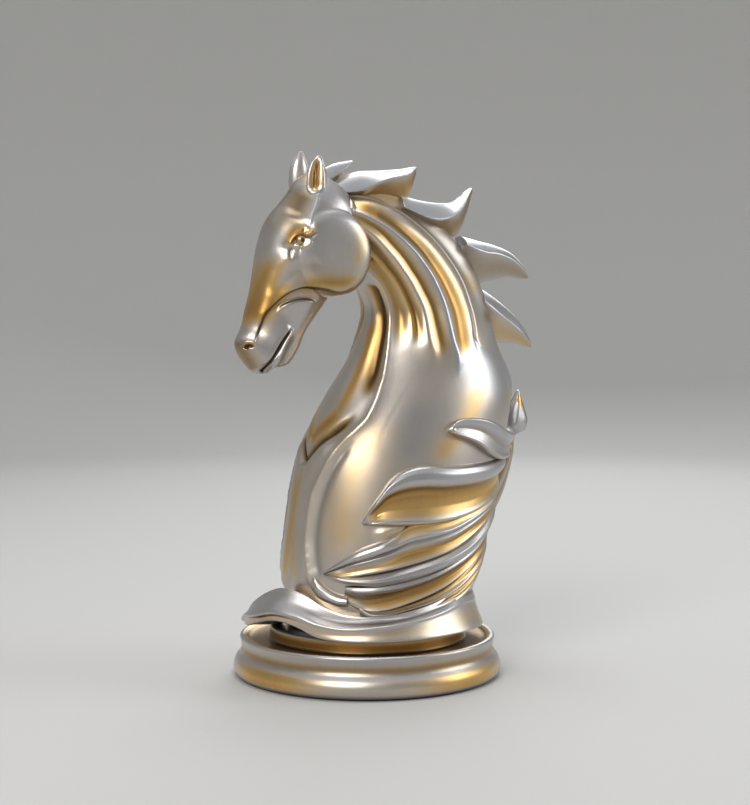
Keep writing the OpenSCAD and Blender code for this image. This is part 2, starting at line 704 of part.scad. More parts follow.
FINIAL = [[96, 110, 116, 116, 6], [99, 120, 117, 122, 6], [103, 129, 114.5, 130, 4.5], [107.5, 137, 112, 137, 2.6],
    [109.6, 140.6, 111, 141, 1]];
module robe_finial() {
    color(silver) sculpted() difference() {
        loft(seated_all(FINIAL), 8, 12);
        neck_form();
        crest_form();
        roll_form(KNOT, fold_lift);
    }
}

// Skirt round the neck's foot: [turn, low edge r, z, ridge r, z, top edge r, z], heights from the seat
SKIRT = [
    [-55, 68, 0, 68, 7, 60, 16], [-40, 72, -1, 73, 5, 66, 12], [-28, 75, -2, 77.5, 2, 74, 6],
    [-15, 75, 1, 77, 7, 72, 15], [0, 72, 6, 76, 11, 68, 24], [12, 70, 8.5, 73, 14.5, 65, 28],
    [24, 68, 6.5, 69, 13, 61.5, 25], [36, 67, 1.5, 67, 9, 59, 18.5], [50, 67, 0, 66, 7, 58.5, 14.5], [70, 67, 0, 65, 8, 58, 13.5],
    [90, 66, 0, 62.5, 10, 57.5, 16], [110, 66, 0, 61.5, 12.5, 57.5, 19.5], [130, 69, 0, 62.5, 15, 60, 25],
    [150, 71.5, -0.5, 67, 14, 65, 28], [180, 71, 0, 69, 12, 67, 28], [210, 71.5, -0.5, 67, 14, 65, 28],
    [230, 69, 0, 62.5, 15, 60, 25], [250, 66, 0, 61.5, 12.5, 57.5, 19.5], [270, 66, 0, 62.5, 10, 57.5, 16],
    [290, 67, 0, 65, 8, 58, 13.5], [305, 68, 0, 68, 7, 60, 16]
];
skirt_tuck = 8;

function skirt_ring(p) =
    let (inner = min(p[1], p[5]) - skirt_tuck - 10)
    [for (q = [[inner, max(p[2], 0)], [p[1] - 2, max(p[2], 0)], [p[1], p[2] + 1], [p[3], p[4]],
        [lerp(p[3], p[5], 0.5) - 1, lerp(p[4], p[6], 0.55)], [p[5], p[6]], [p[5] - 3, p[6] - 1],
        [inner, p[6] - 6]])
        [-k * q[0] * cos(p[0]), -k * q[0] * sin(p[0]), seat_h + k * q[1]]];

module skirt_form() {
    steps = 64;
    rings = [for (i = [0 : steps - 1]) skirt_ring(curve_at(SKIRT, (len(SKIRT) - 1) * i / steps))];
    sides = len(rings[0]);
    polyhedron(
        points = [for (ring = rings) each ring],
        faces = [for (i = [0 : steps - 1], j = [0 : sides - 1])
            let (a = i * sides + j, b = i * sides + (j + 1) % sides, next = (i + 1) % steps * sides - i * sides)
            each [[a, b, a + next], [b, b + next, a + next]]],
        convexity = 6
    );
}

module robe_skirt() {
    color(silver) sculpted() difference() {
        skirt_form();
        neck_form();
        cylinder(h = seat_h, d = collar_d);
    }
}

module left_hem_roll() {
    color(silver) sculpted() difference() {
        roll_form(HEM_ROLL, fold_lift);
        neck_form();
        skirt_form();
        fold_form(FOLD_4);
    }
}

felt_pad();
base_cover();
cover_screws();
ballast_ring();
plinth();
body_screws();
neck_plug();
neck_core();
neck_shell();
head();
head_dowels();
left_ear();
right_ear();
mane_crest();
poll_tuft();
mane_lock_1();
mane_lock_2();
mane_lock_3();
mane_lock_4();
robe_skirt();
left_hem_roll();
left_fold_1();
left_fold_2();
left_fold_3();
left_fold_4();
left_fold_5();
right_fold_1();
right_fold_2();
right_fold_3();
right_fold_4();
right_fold_5();
left_leaf();
right_leaf();
robe_knot();
robe_finial();
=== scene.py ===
"""Horse-head chess knight: a table-top ornament of metal-finished cast resin.

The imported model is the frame: +Z is up, the horse looks along -X and its left side faces -Y.
The classes hold their sizes in millimetres, and the horse's heights are taken from its seat
on the plinth's collar. Every mesh is written in metres, at its place in the frame.
"""
import logging
import math
from dataclasses import dataclass
from enum import Enum

import bmesh
import bpy
import numpy as np
from mathutils import Matrix, Vector


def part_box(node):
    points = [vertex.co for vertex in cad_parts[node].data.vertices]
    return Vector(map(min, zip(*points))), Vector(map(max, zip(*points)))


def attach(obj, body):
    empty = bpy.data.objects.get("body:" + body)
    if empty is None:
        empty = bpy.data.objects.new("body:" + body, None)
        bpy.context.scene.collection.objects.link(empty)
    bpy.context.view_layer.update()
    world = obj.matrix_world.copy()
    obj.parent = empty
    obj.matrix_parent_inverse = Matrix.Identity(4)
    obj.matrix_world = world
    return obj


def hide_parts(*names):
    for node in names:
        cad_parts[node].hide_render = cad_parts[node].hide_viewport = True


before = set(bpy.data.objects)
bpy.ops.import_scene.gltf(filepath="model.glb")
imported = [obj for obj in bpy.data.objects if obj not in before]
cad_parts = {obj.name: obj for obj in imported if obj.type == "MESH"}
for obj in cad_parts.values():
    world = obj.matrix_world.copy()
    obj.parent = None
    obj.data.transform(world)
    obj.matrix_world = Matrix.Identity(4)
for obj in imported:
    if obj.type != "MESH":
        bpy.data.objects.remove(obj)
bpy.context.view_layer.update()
LOG = logging.getLogger("knight")
MM = 0.001
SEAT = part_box("neck_shell")[0][2] / MM
QUARTER = math.pi / 2
# Grooves take extra gold and shade up to HOLLOW_DEPTH mm deep: partly the glaze that gathers in real hollows,
# partly painted shade.
HOLLOW_DEPTH, HOLLOW_GILDING, HOLLOW_SHADE = 3.0, 0.10, 0.09

Section = tuple[float, float, float, float, float]
Path = tuple[tuple[float, float], ...]
Colour = tuple[float, float, float]


# ---------- curves and marks ----------


def between(p0: np.ndarray, p1: np.ndarray, p2: np.ndarray, p3: np.ndarray, f: np.ndarray) -> np.ndarray:
    """Place a share f of the way from p1 to p2, on the smooth curve through all four."""
    return 0.5 * (2 * p1 + (p2 - p0) * f + (2 * p0 - 5 * p1 + 4 * p2 - p3) * f**2
                  + (3 * p1 - p0 - 3 * p2 + p3) * f**3)


def spline(points: np.ndarray, places: np.ndarray) -> np.ndarray:
    """Smooth curve through the rows of a table.

    Args:
        points: One row of values per station.
        places: Places along the curve, counted in stations.

    Returns:
        One row of values per place.
    """
    last = len(points) - 1
    start = np.clip(np.floor(places).astype(int), 0, last - 1)
    f = (places - start)[:, None]
    padded = np.vstack([2 * points[0] - points[1], points, 2 * points[-1] - points[-2]])
    return between(*(padded[start + n] for n in range(4)), f)


def eased(low: float, high: float, value: np.ndarray) -> np.ndarray:
    """Share from 0 at low to 1 at high, with soft ends."""
    f = np.clip((value - low) / (high - low), 0.0, 1.0)
    return f * f * (3 - 2 * f)


def through(pairs: Path, places: np.ndarray, blur: float = 0.0) -> np.ndarray:
    """Value at each place on the lines through (place, value) pairs.

    Args:
        pairs: The pairs, in order of place.
        places: Places to read.
        blur: Half width over which the corners between the lines are rounded.

    Returns:
        One value per place.
    """
    table = np.array(pairs)
    shifts = np.linspace(-blur, blur, 9) if blur else np.zeros(1)
    return np.mean([np.interp(places + shift, table[:, 0], table[:, 1]) for shift in shifts], axis=0)


@dataclass(frozen=True)
class Mark:
    """One stroke of the sculptor's tool or of the gilder's brush along a path.

    The path runs over a chart of the surface in millimetres. Its left and right sides
    may stand at different heights, so that a mark is a ridge, a groove or a step.
    Its shade is partly dark glaze and partly painted shade in creases and under edges,
    and a negative shade lightens a place as a painted highlight.
    """

    path: Path
    left: float = 0.0
    right: float = 0.0
    reach: tuple[float, float] = (3.0, 3.0)
    crisp: float = 2.0
    soft: float = 0.4
    fade: tuple[float, float] = (6.0, 6.0)
    gilding: float = 0.0
    shade: float = 0.0

    def weigh(self, places: np.ndarray, path: np.ndarray) -> tuple[np.ndarray, np.ndarray]:
        """How far the mark lifts each place, and how strongly its colour shows there.

        Args:
            places: Chart coordinates of the surface's points.
            path: Chart coordinates of the mark's path.

        Returns:
            The rise in millimetres and the weight of the colour.
        """
        rise, weight = np.zeros(len(places)), np.zeros(len(places))
        run = spline(path, np.linspace(0, len(path) - 1, 6 * (len(path) - 1) + 1))
        margin = 2.6 * max(self.reach)
        near = np.all((places > run.min(0) - margin) & (places < run.max(0) + margin), axis=1)
        if not near.any():
            return rise, weight
        step = run[1:] - run[:-1]
        length = np.linalg.norm(step, axis=1)
        offset = places[near][:, None, :] - run[None, :-1, :]
        f = np.clip((offset * step).sum(2) / length**2, 0, 1)
        gap = offset - f[..., None] * step
        distance = np.linalg.norm(gap, axis=2)
        pick = distance.argmin(1)
        row = np.arange(len(pick))
        d = distance[row, pick]
        cross = step[pick, 0] * gap[row, pick, 1] - step[pick, 1] * gap[row, pick, 0]
        signed = np.sign(cross) * d
        along = np.concatenate([[0], np.cumsum(length)])[pick] + f[row, pick] * length[pick]
        ends = eased(0, self.fade[0], along) * eased(0, self.fade[1], length.sum() - along)
        left_share = 0.5 + 0.5 * np.tanh(signed / self.soft)
        reach = np.where(signed > 0, self.reach[0], self.reach[1])
        bell = np.exp(-((d / reach) ** self.crisp)) * ends
        rise[near] = bell * (self.left * left_share + self.right * (1 - left_share))
        weight[near] = bell
        return rise, weight


def ridge(path: Path, height: float, reach: tuple[float, float], **more: float) -> Mark:
    """Mark that stands equally high on both sides of its path."""
    return Mark(path, height, height, reach, **more)


def wash(path: Path, width: float, gilding: float = 0.0, shade: float = 0.0, **more: float) -> Mark:
    """Mark that only lays colour on, without moving the surface."""
    return Mark(path, reach=(width, width), gilding=gilding, shade=shade, **more)


@dataclass
class Surface:
    """Points of a piece while it is shaped: where they are and what is painted on them."""

    points: np.ndarray
    normals: np.ndarray
    gilding: np.ndarray
    shade: np.ndarray

    @classmethod
    def of(cls, points: np.ndarray, normals: np.ndarray) -> "Surface":
        """Bare silver surface over the given points."""
        return cls(points, normals, np.zeros(len(points)), np.zeros(len(points)))

    def carve(self, marks: tuple[Mark, ...], places: np.ndarray, paths: list[np.ndarray]) -> None:
        """Cuts and paints a group of marks.

        Args:
            marks: The marks, in any order.
            places: Chart coordinates of the points.
            paths: Chart coordinates of each mark's path.
        """
        total = np.zeros(len(self.points))
        for mark, path in zip(marks, paths):
            rise, weight = mark.weigh(places, path)
            total += rise
            self.gilding += mark.gilding * weight
            self.shade += mark.shade * weight
        # Painted shade and more gold in every groove, growing with its depth; partly the glaze that gathers
        # in real hollows.
        hollow = np.clip(-total, 0, HOLLOW_DEPTH)
        self.gilding += HOLLOW_GILDING * hollow
        self.shade += HOLLOW_SHADE * hollow
        self.points = self.points + self.normals * total[:, None]


# ---------- finishes ----------


class Slot(Enum):
    """Names of material slots in the record; a form carries one, but its finish does not come from it."""

    BODY = "body_resin"
    MANE = "mane_resin"
    ROBE = "robe_resin"
    PLINTH = "plinth_resin"


@dataclass
class Nodes:
    """Small helper that adds shader nodes to one material and links them."""

    material: bpy.types.Material

    def __post_init__(self) -> None:
        """Clears the material's node tree."""
        self.material.use_nodes = True
        self.tree = self.material.node_tree
        self.tree.nodes.clear()

    def feed(self, socket: bpy.types.NodeSocket, value: object) -> None:
        """Links the socket to the value if that is a socket too, or else sets it."""
        if isinstance(value, bpy.types.NodeSocket):
            self.tree.links.new(value, socket)
        else:
            socket.default_value = value

    def add(self, kind: str, inputs: dict[str, object] | None = None, **settings: object) -> bpy.types.Node:
        """Adds a node.

        Args:
            kind: Node type without its ShaderNode prefix.
            inputs: A value for, or an output socket to link to, each named input.
            settings: Attributes of the node itself.

        Returns:
            The new node.
        """
        node = self.tree.nodes.new("ShaderNode" + kind)
        for name, value in settings.items():
            setattr(node, name, value)
        for name, value in (inputs or {}).items():
            self.feed(node.inputs[name], value)
        return node

    def ramp(self, source: bpy.types.NodeSocket,
             stops: tuple[tuple[float, Colour], ...]) -> bpy.types.NodeSocket:
        """Colour ramp over a factor.

        Args:
            source: Socket that holds the factor.
            stops: Position and colour of each stop.

        Returns:
            The ramp's colour socket.
        """
        node = self.add("ValToRGB", {"Fac": source})
        elements = node.color_ramp.elements
        while len(elements) < len(stops):
            elements.new(0.5)
        for element, (position, colour) in zip(elements, stops):
            element.position = position
            element.color = (*colour, 1.0)
        return node.outputs["Color"]

    def maths(self, operation: str, *values: object, clamp: bool = False) -> bpy.types.NodeSocket:
        """Result of one sum on values or sockets, kept between 0 and 1 if it is clamped."""
        node = self.add("Math", operation=operation, use_clamp=clamp)
        for socket, value in zip(node.inputs, values):
            self.feed(socket, value)
        return node.outputs[0]

    def blend(self, share: object, low: object, high: object, mode: str = "MIX") -> bpy.types.NodeSocket:
        """Mix of two colours.

        Args:
            share: Share of the second colour.
            low: First colour.
            high: Second colour.
            mode: How the second colour meets the first.

        Returns:
            The mixed colour's socket.
        """
        node = self.add("Mix", data_type="RGBA", blend_type=mode)
        for index, value in ((0, share), (6, low), (7, high)):
            self.feed(node.inputs[index], value)
        return node.outputs[2]

    def close(self, shader: bpy.types.Node) -> None:
        """Links a shader to the material's output."""
        out = self.add("OutputMaterial")
        self.tree.links.new(shader.outputs[0], out.inputs["Surface"])


@dataclass(frozen=True)
class GildedFinish:
    """Silver metal paint over cast resin, brushed with gold and toned with a bronze glaze.

    A piece's attribute gilding runs from silver at 0 to deep gold at 1, and its attribute
    shade says how thick the dark glaze lies; that darkness is partly the real bronze glaze
    and partly painted shade in creases, hollows and under edges.
    """

    name: str = "gilded_silver"
    silver: Colour = (0.50, 0.495, 0.505)
    champagne: Colour = (0.62, 0.52, 0.40)
    gold: Colour = (0.70, 0.45, 0.17)
    deep_gold: Colour = (0.52, 0.29, 0.08)
    # Colour of the bronze glaze, which also serves as the painted shade.
    glaze: Colour = (0.075, 0.05, 0.028)
    stops: tuple[float, ...] = (0.0, 0.32, 0.66, 1.0)
    metal: float = 0.90
    roughness: float = 0.30
    cloud_scale: float = 38.0
    brush_scale: float = 420.0
    fleck_scale: float = 2600.0

    def material(self) -> bpy.types.Material:
        """Builds the node material, or returns it if it is there already."""
        made = bpy.data.materials.get(self.name)
        if made:
            return made
        made = bpy.data.materials.new(self.name)
        n = Nodes(made)
        place = n.add("TexCoord").outputs["Object"]
        gilding = n.add("Attribute", attribute_name="gilding").outputs["Fac"]
        shade = n.add("Attribute", attribute_name="shade").outputs["Fac"]
        clouds = n.add("TexNoise", {"Vector": place, "Scale": self.cloud_scale, "Detail": 4.0,
                                    "Roughness": 0.55})
        drawn = n.add("Mapping", {"Vector": place, "Scale": (1.0, 1.0, 0.16)})
        brush = n.add("TexNoise", {"Vector": drawn.outputs[0], "Scale": self.brush_scale, "Detail": 3.0,
                                    "Roughness": 0.6})
        fleck = n.add("TexNoise", {"Vector": place, "Scale": self.fleck_scale, "Detail": 2.0,
                                    "Roughness": 0.6})
        drift = n.maths("MULTIPLY_ADD", clouds.outputs[0], 0.16, -0.08)
        streak = n.maths("MULTIPLY_ADD", brush.outputs[0], 0.10, -0.05)
        laid = n.maths("ADD", gilding, n.maths("ADD", drift, streak))
        colours = (self.silver, self.champagne, self.gold, self.deep_gold)
        paint = n.ramp(laid, tuple(zip(self.stops, colours)))
        spark = n.ramp(fleck.outputs[0], ((0.3, (0.90, 0.90, 0.90)), (0.7, (1.0, 1.0, 1.0))))
        sparkled = n.blend(1.0, paint, spark, "MULTIPLY")
        # How far glaze and painted shade darken the paint.
        glaze_and_shade_share = n.maths("ADD", shade, streak, clamp=True)
        toned = n.blend(glaze_and_shade_share, sparkled, (*self.glaze, 1.0))
        rough_drift = n.maths("MULTIPLY_ADD", clouds.outputs[0], 0.10, self.roughness - 0.05)
        rough = n.maths("ADD", rough_drift, n.maths("MULTIPLY", brush.outputs[0], 0.06))
        grain = n.add("Bump", {"Strength": 0.045, "Distance": 0.0004, "Height": fleck.outputs[0]})
        drawn_grain = n.add("Bump", {"Strength": 0.05, "Distance": 0.0006, "Height": brush.outputs[0],
                                     "Normal": grain.outputs[0]})
        shader = n.add("BsdfPrincipled", {"Base Color": toned, "Roughness": rough, "Metallic": self.metal,
                                          "Coat Weight": 0.12, "Coat Roughness": 0.18,
                                          "Normal": drawn_grain.outputs[0]})
        n.close(shader)
        return made


@dataclass(frozen=True)
class GrainFinish:
    """Plain working material with a two-tone grain, for the pieces under and inside the horse."""

    name: str
    dark: Colour
    light: Colour
    scale: float
    stretch: tuple[float, float, float] = (1.0, 1.0, 1.0)
    roughness: float = 0.6
    metal: float = 0.0
    relief: float = 0.2

    def material(self) -> bpy.types.Material:
        """Builds the node material, or returns it if it is there already."""
        made = bpy.data.materials.get(self.name)
        if made:
            return made
        made = bpy.data.materials.new(self.name)
        n = Nodes(made)
        place = n.add("TexCoord").outputs["Object"]
        drawn = n.add("Mapping", {"Vector": place, "Scale": self.stretch})
        grain = n.add("TexNoise", {"Vector": drawn.outputs[0], "Scale": self.scale, "Detail": 5.0})
        colour = n.ramp(grain.outputs[0], ((0.35, self.dark), (0.65, self.light)))
        rough = n.maths("MULTIPLY_ADD", grain.outputs[0], 0.2, self.roughness - 0.1)
        bump = n.add("Bump", {"Strength": self.relief, "Distance": 0.0005, "Height": grain.outputs[0]})
        shader = n.add("BsdfPrincipled", {"Base Color": colour, "Roughness": rough, "Metallic": self.metal,
                                          "Normal": bump.outputs[0]})
        n.close(shader)
        return made


GILDED = GildedFinish()


# ---------- making pieces ----------


def sphere_net(rings: int, sides: int) -> tuple[bmesh.types.BMesh, np.ndarray, np.ndarray]:
    """Closed ball whose points are then moved to a form's rings.

    Args:
        rings: Rings from the lower pole to the upper one.
        sides: Points round each ring.

    Returns:
        The ball, the share of the way up at each point, and the turn in degrees round the
        ring, which is 0 at the front and 90 on the horse's left.
    """
    ball = bmesh.new()
    bmesh.ops.create_uvsphere(ball, u_segments=sides, v_segments=rings, radius=1.0)
    place = np.array([vert.co for vert in ball.verts])
    way = 1 - np.arccos(np.clip(place[:, 2], -1, 1)) / math.pi
    turn = (np.degrees(np.arctan2(place[:, 1], place[:, 0])) + 180.0) % 360.0
    return ball, way, turn


def capped(way: np.ndarray, low: float, high: float) -> tuple[np.ndarray, np.ndarray]:
    """Run of a closed form between its two rounded caps.

    Args:
        way: Share of the way from the lower pole to the upper one.
        low: Share of the way that the lower cap takes.
        high: Share of the way that the upper cap takes.

    Returns:
        The share of the way along the body, and the share of its full section.
    """
    run = np.clip((way - low) / (1 - low - high), 0, 1)
    start, stop = np.clip(way / low, 0, 1), np.clip((1 - way) / high, 0, 1)
    return run, np.sin(QUARTER * start) * np.sin(QUARTER * stop)


def turned(outline: Path, segments: int) -> bmesh.types.BMesh:
    """Turns an outline round the upright axis.

    Args:
        outline: Radius and height of each point, from one end to the other.
        segments: Steps of the turn.

    Returns:
        The turned net, with its doubled points merged.
    """
    net = bmesh.new()
    verts = [net.verts.new((r, 0, z)) for r, z in outline]
    for a, b in zip(verts, verts[1:]):
        net.edges.new((a, b))
    bmesh.ops.spin(net, geom=net.verts[:] + net.edges[:], cent=(0, 0, 0), axis=(0, 0, 1),
                   angle=2 * math.pi, steps=segments, use_merge=True)
    bmesh.ops.remove_doubles(net, verts=net.verts, dist=1e-4)
    return net


def make_piece(name: str, net: bmesh.types.BMesh, surface: Surface, nodes: tuple[str, ...],
               finish: GildedFinish = GILDED) -> bpy.types.Object:
    """Turns a shaped net into a finished piece that rides on the part.

    Args:
        name: Name of the piece.
        net: Mesh whose points take the surface's places.
        surface: Places in millimetres and the paint on them.
        nodes: CAD nodes that the piece stands for.
        finish: Finish of the piece.

    Returns:
        The new object.
    """
    for vert, point in zip(net.verts, surface.points * MM):
        vert.co = point
    bmesh.ops.recalc_face_normals(net, faces=net.faces)
    mesh = bpy.data.meshes.new(name)
    net.to_mesh(mesh)
    net.free()
    mesh.shade_smooth()
    for label, values in (("gilding", surface.gilding), ("shade", surface.shade)):
        layer = mesh.attributes.new(label, "FLOAT", "POINT")
        layer.data.foreach_set("value", np.clip(values, 0.0, 1.0).astype(np.float32))
    piece = bpy.data.objects.new(name, mesh)
    bpy.context.collection.objects.link(piece)
    mesh.materials.append(finish.material())
    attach(piece, "root")
    if nodes:
        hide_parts(*nodes)
    LOG.info("%s: %d faces", name, len(mesh.polygons))
    return piece


class Skin:
    """Smooth skin over sections [front x, z, back x, z, half width], with a chart in millimetres."""

    def __init__(self, sections: tuple[Section, ...]) -> None:
        """Keeps the sections and measures the chart along their middles."""
        self.table = np.array(sections)
        self.last = len(sections) - 1
        levels = np.linspace(0, self.last, 400)
        rows = spline(self.table, levels)
        middle = (rows[:, 0:2] + rows[:, 2:4]) / 2
        steps = np.linalg.norm(np.diff(middle, axis=0), axis=1)
        half = np.linalg.norm(rows[:, 2:4] - rows[:, 0:2], axis=1) / 2
        self.levels = levels
        self.heights = np.concatenate([[0], np.cumsum(steps)])
        self.girths = np.sqrt((half**2 + rows[:, 4] ** 2) / 2)

    def ring(self, level: np.ndarray, turn: np.ndarray, shrink: np.ndarray | float = 1.0) -> np.ndarray:
        """Points of the skin.

        Args:
            level: Place along the sections.
            turn: Degrees round the section, 0 at its front.
            shrink: Share of the section's full size.

        Returns:
            One point per row, with its height above the table.
        """
        row = spline(self.table, level)
        middle = (row[:, 0:2] + row[:, 2:4]) / 2
        depth = (row[:, 2:4] - row[:, 0:2]) / 2
        angle = np.radians(turn)
        forward = (np.cos(angle) * shrink)[:, None] * depth
        side = -row[:, 4] * np.sin(angle) * shrink
        return np.column_stack([middle[:, 0] - forward[:, 0], side, middle[:, 1] - forward[:, 1] + SEAT])

    def normals(self, level: np.ndarray, turn: np.ndarray) -> np.ndarray:
        """Outward directions of the skin."""
        low, high = np.clip(level - 0.02, 0, self.last), np.clip(level + 0.02, 0, self.last)
        up = self.ring(high, turn) - self.ring(low, turn)
        onward = self.ring(level, turn + 0.5) - self.ring(level, turn - 0.5)
        out = np.cross(onward, up)
        out /= np.maximum(np.linalg.norm(out, axis=1), 1e-9)[:, None]
        away = self.ring(level, turn) - self.ring(level, turn, 0.2)
        return out * np.where((out * away).sum(1) < 0, -1.0, 1.0)[:, None]

    def chart(self, level: np.ndarray, turn: np.ndarray) -> np.ndarray:
        """Chart coordinates: millimetres round the skin from its front, and along it."""
        girth = np.interp(level, self.levels, self.girths)
        return np.column_stack([np.radians(turn) * girth, np.interp(level, self.levels, self.heights)])

    def chart_path(self, path: Path) -> np.ndarray:
        """Chart coordinates of a path of (level, turn) points."""
        points = np.array(path)
        return self.chart(points[:, 0], points[:, 1])

    def unchart(self, places: np.ndarray) -> tuple[np.ndarray, np.ndarray]:
        """Level and turn of chart coordinates."""
        level = np.interp(places[:, 1], self.heights, self.levels)
        girth = np.interp(level, self.levels, self.girths)
        return level, np.degrees(places[:, 0] / girth)


class Law(Enum):
    """How a form's cross section is shaped."""

    ROUND = "round"
    BLADE = "blade"


@dataclass
class Form:
    """Closed form lofted through sections, such as a lock, an ear or the finial.

    A BLADE has a sharp ridge along each flank, a full face above the ridge and a hollow one
    below it, which takes gold paint and painted shade. `ridge_at` gives the ridge's place per
    section, counted from the upper edge.
    """

    name: str
    sections: tuple[Section, ...]
    nodes: tuple[str, ...]
    slot: Slot
    law: Law = Law.ROUND
    rings: int = 120
    sides: int = 96
    cap: float = 0.05
    dome: float = 0.0
    ridge_at: tuple[float, ...] = ()
    full_curve: float = 0.62
    hollow_curve: float = 1.35
    lower_gilding: float = 0.55
    underside_painted_shade: float = 0.25
    marks: tuple[Mark, ...] = ()

    def build(self) -> bpy.types.Object:
        """Builds and dresses the form."""
        net, way, turn = sphere_net(self.rings, self.sides)
        skin = Skin(self.sections)
        run, shrink = capped(way, self.cap, self.cap)
        level = skin.last * run
        tip, before = (skin.ring(np.array([skin.last - back]), np.zeros(1), 0.0) for back in (0.0, 0.05))
        onward = (tip - before) / np.linalg.norm(tip - before)
        bulge = self.dome * np.cos(QUARTER * np.clip((1 - way) / self.cap, 0, 1))
        surface = Surface.of(skin.ring(level, turn, shrink) + onward * bulge[:, None],
                             skin.normals(level, turn))
        if self.law is Law.BLADE:
            self.hone(surface, skin, level, turn, shrink)
        places = surface.points[:, [0, 2]] - [0, SEAT]
        surface.carve(self.marks, places, [np.array(mark.path) for mark in self.marks])
        return make_piece(self.name, net, surface, self.nodes)

    def hone(self, surface: Surface, skin: Skin, level: np.ndarray, turn: np.ndarray,
             shrink: np.ndarray) -> None:
        """Gives the round form its two edges, its ridge and its hollow lower face,
        with gold paint and painted shade on that face.

        Args:
            surface: Surface to change.
            skin: Skin that the form was lofted on.
            level: Place of each point along the form.
            turn: Turn of each point; 0 lies on the lower edge.
            shrink: Share of the full section at each point.
        """
        down = (1 + np.cos(np.radians(turn))) / 2
        at = spline(np.array(self.ridge_at)[:, None], level)[:, 0]
        above = np.clip(down / at, 0, 1) ** self.full_curve
        below = np.clip((1 - down) / (1 - at), 0, 1) ** self.hollow_curve
        full = spline(skin.table, level)[:, 4] * shrink
        surface.points[:, 1] = -np.sign(np.sin(np.radians(turn))) * full * np.where(down < at, above, below)
        # Gold paint and painted shade on the hollow lower face, strongest across its middle.
        hollow = (down > at) * np.sin(math.pi * np.clip((down - at) / (1 - at), 0, 1)) ** 0.7
        surface.gilding += self.lower_gilding * hollow
        surface.shade += self.underside_painted_shade * hollow


# ---------- neck and chest ----------


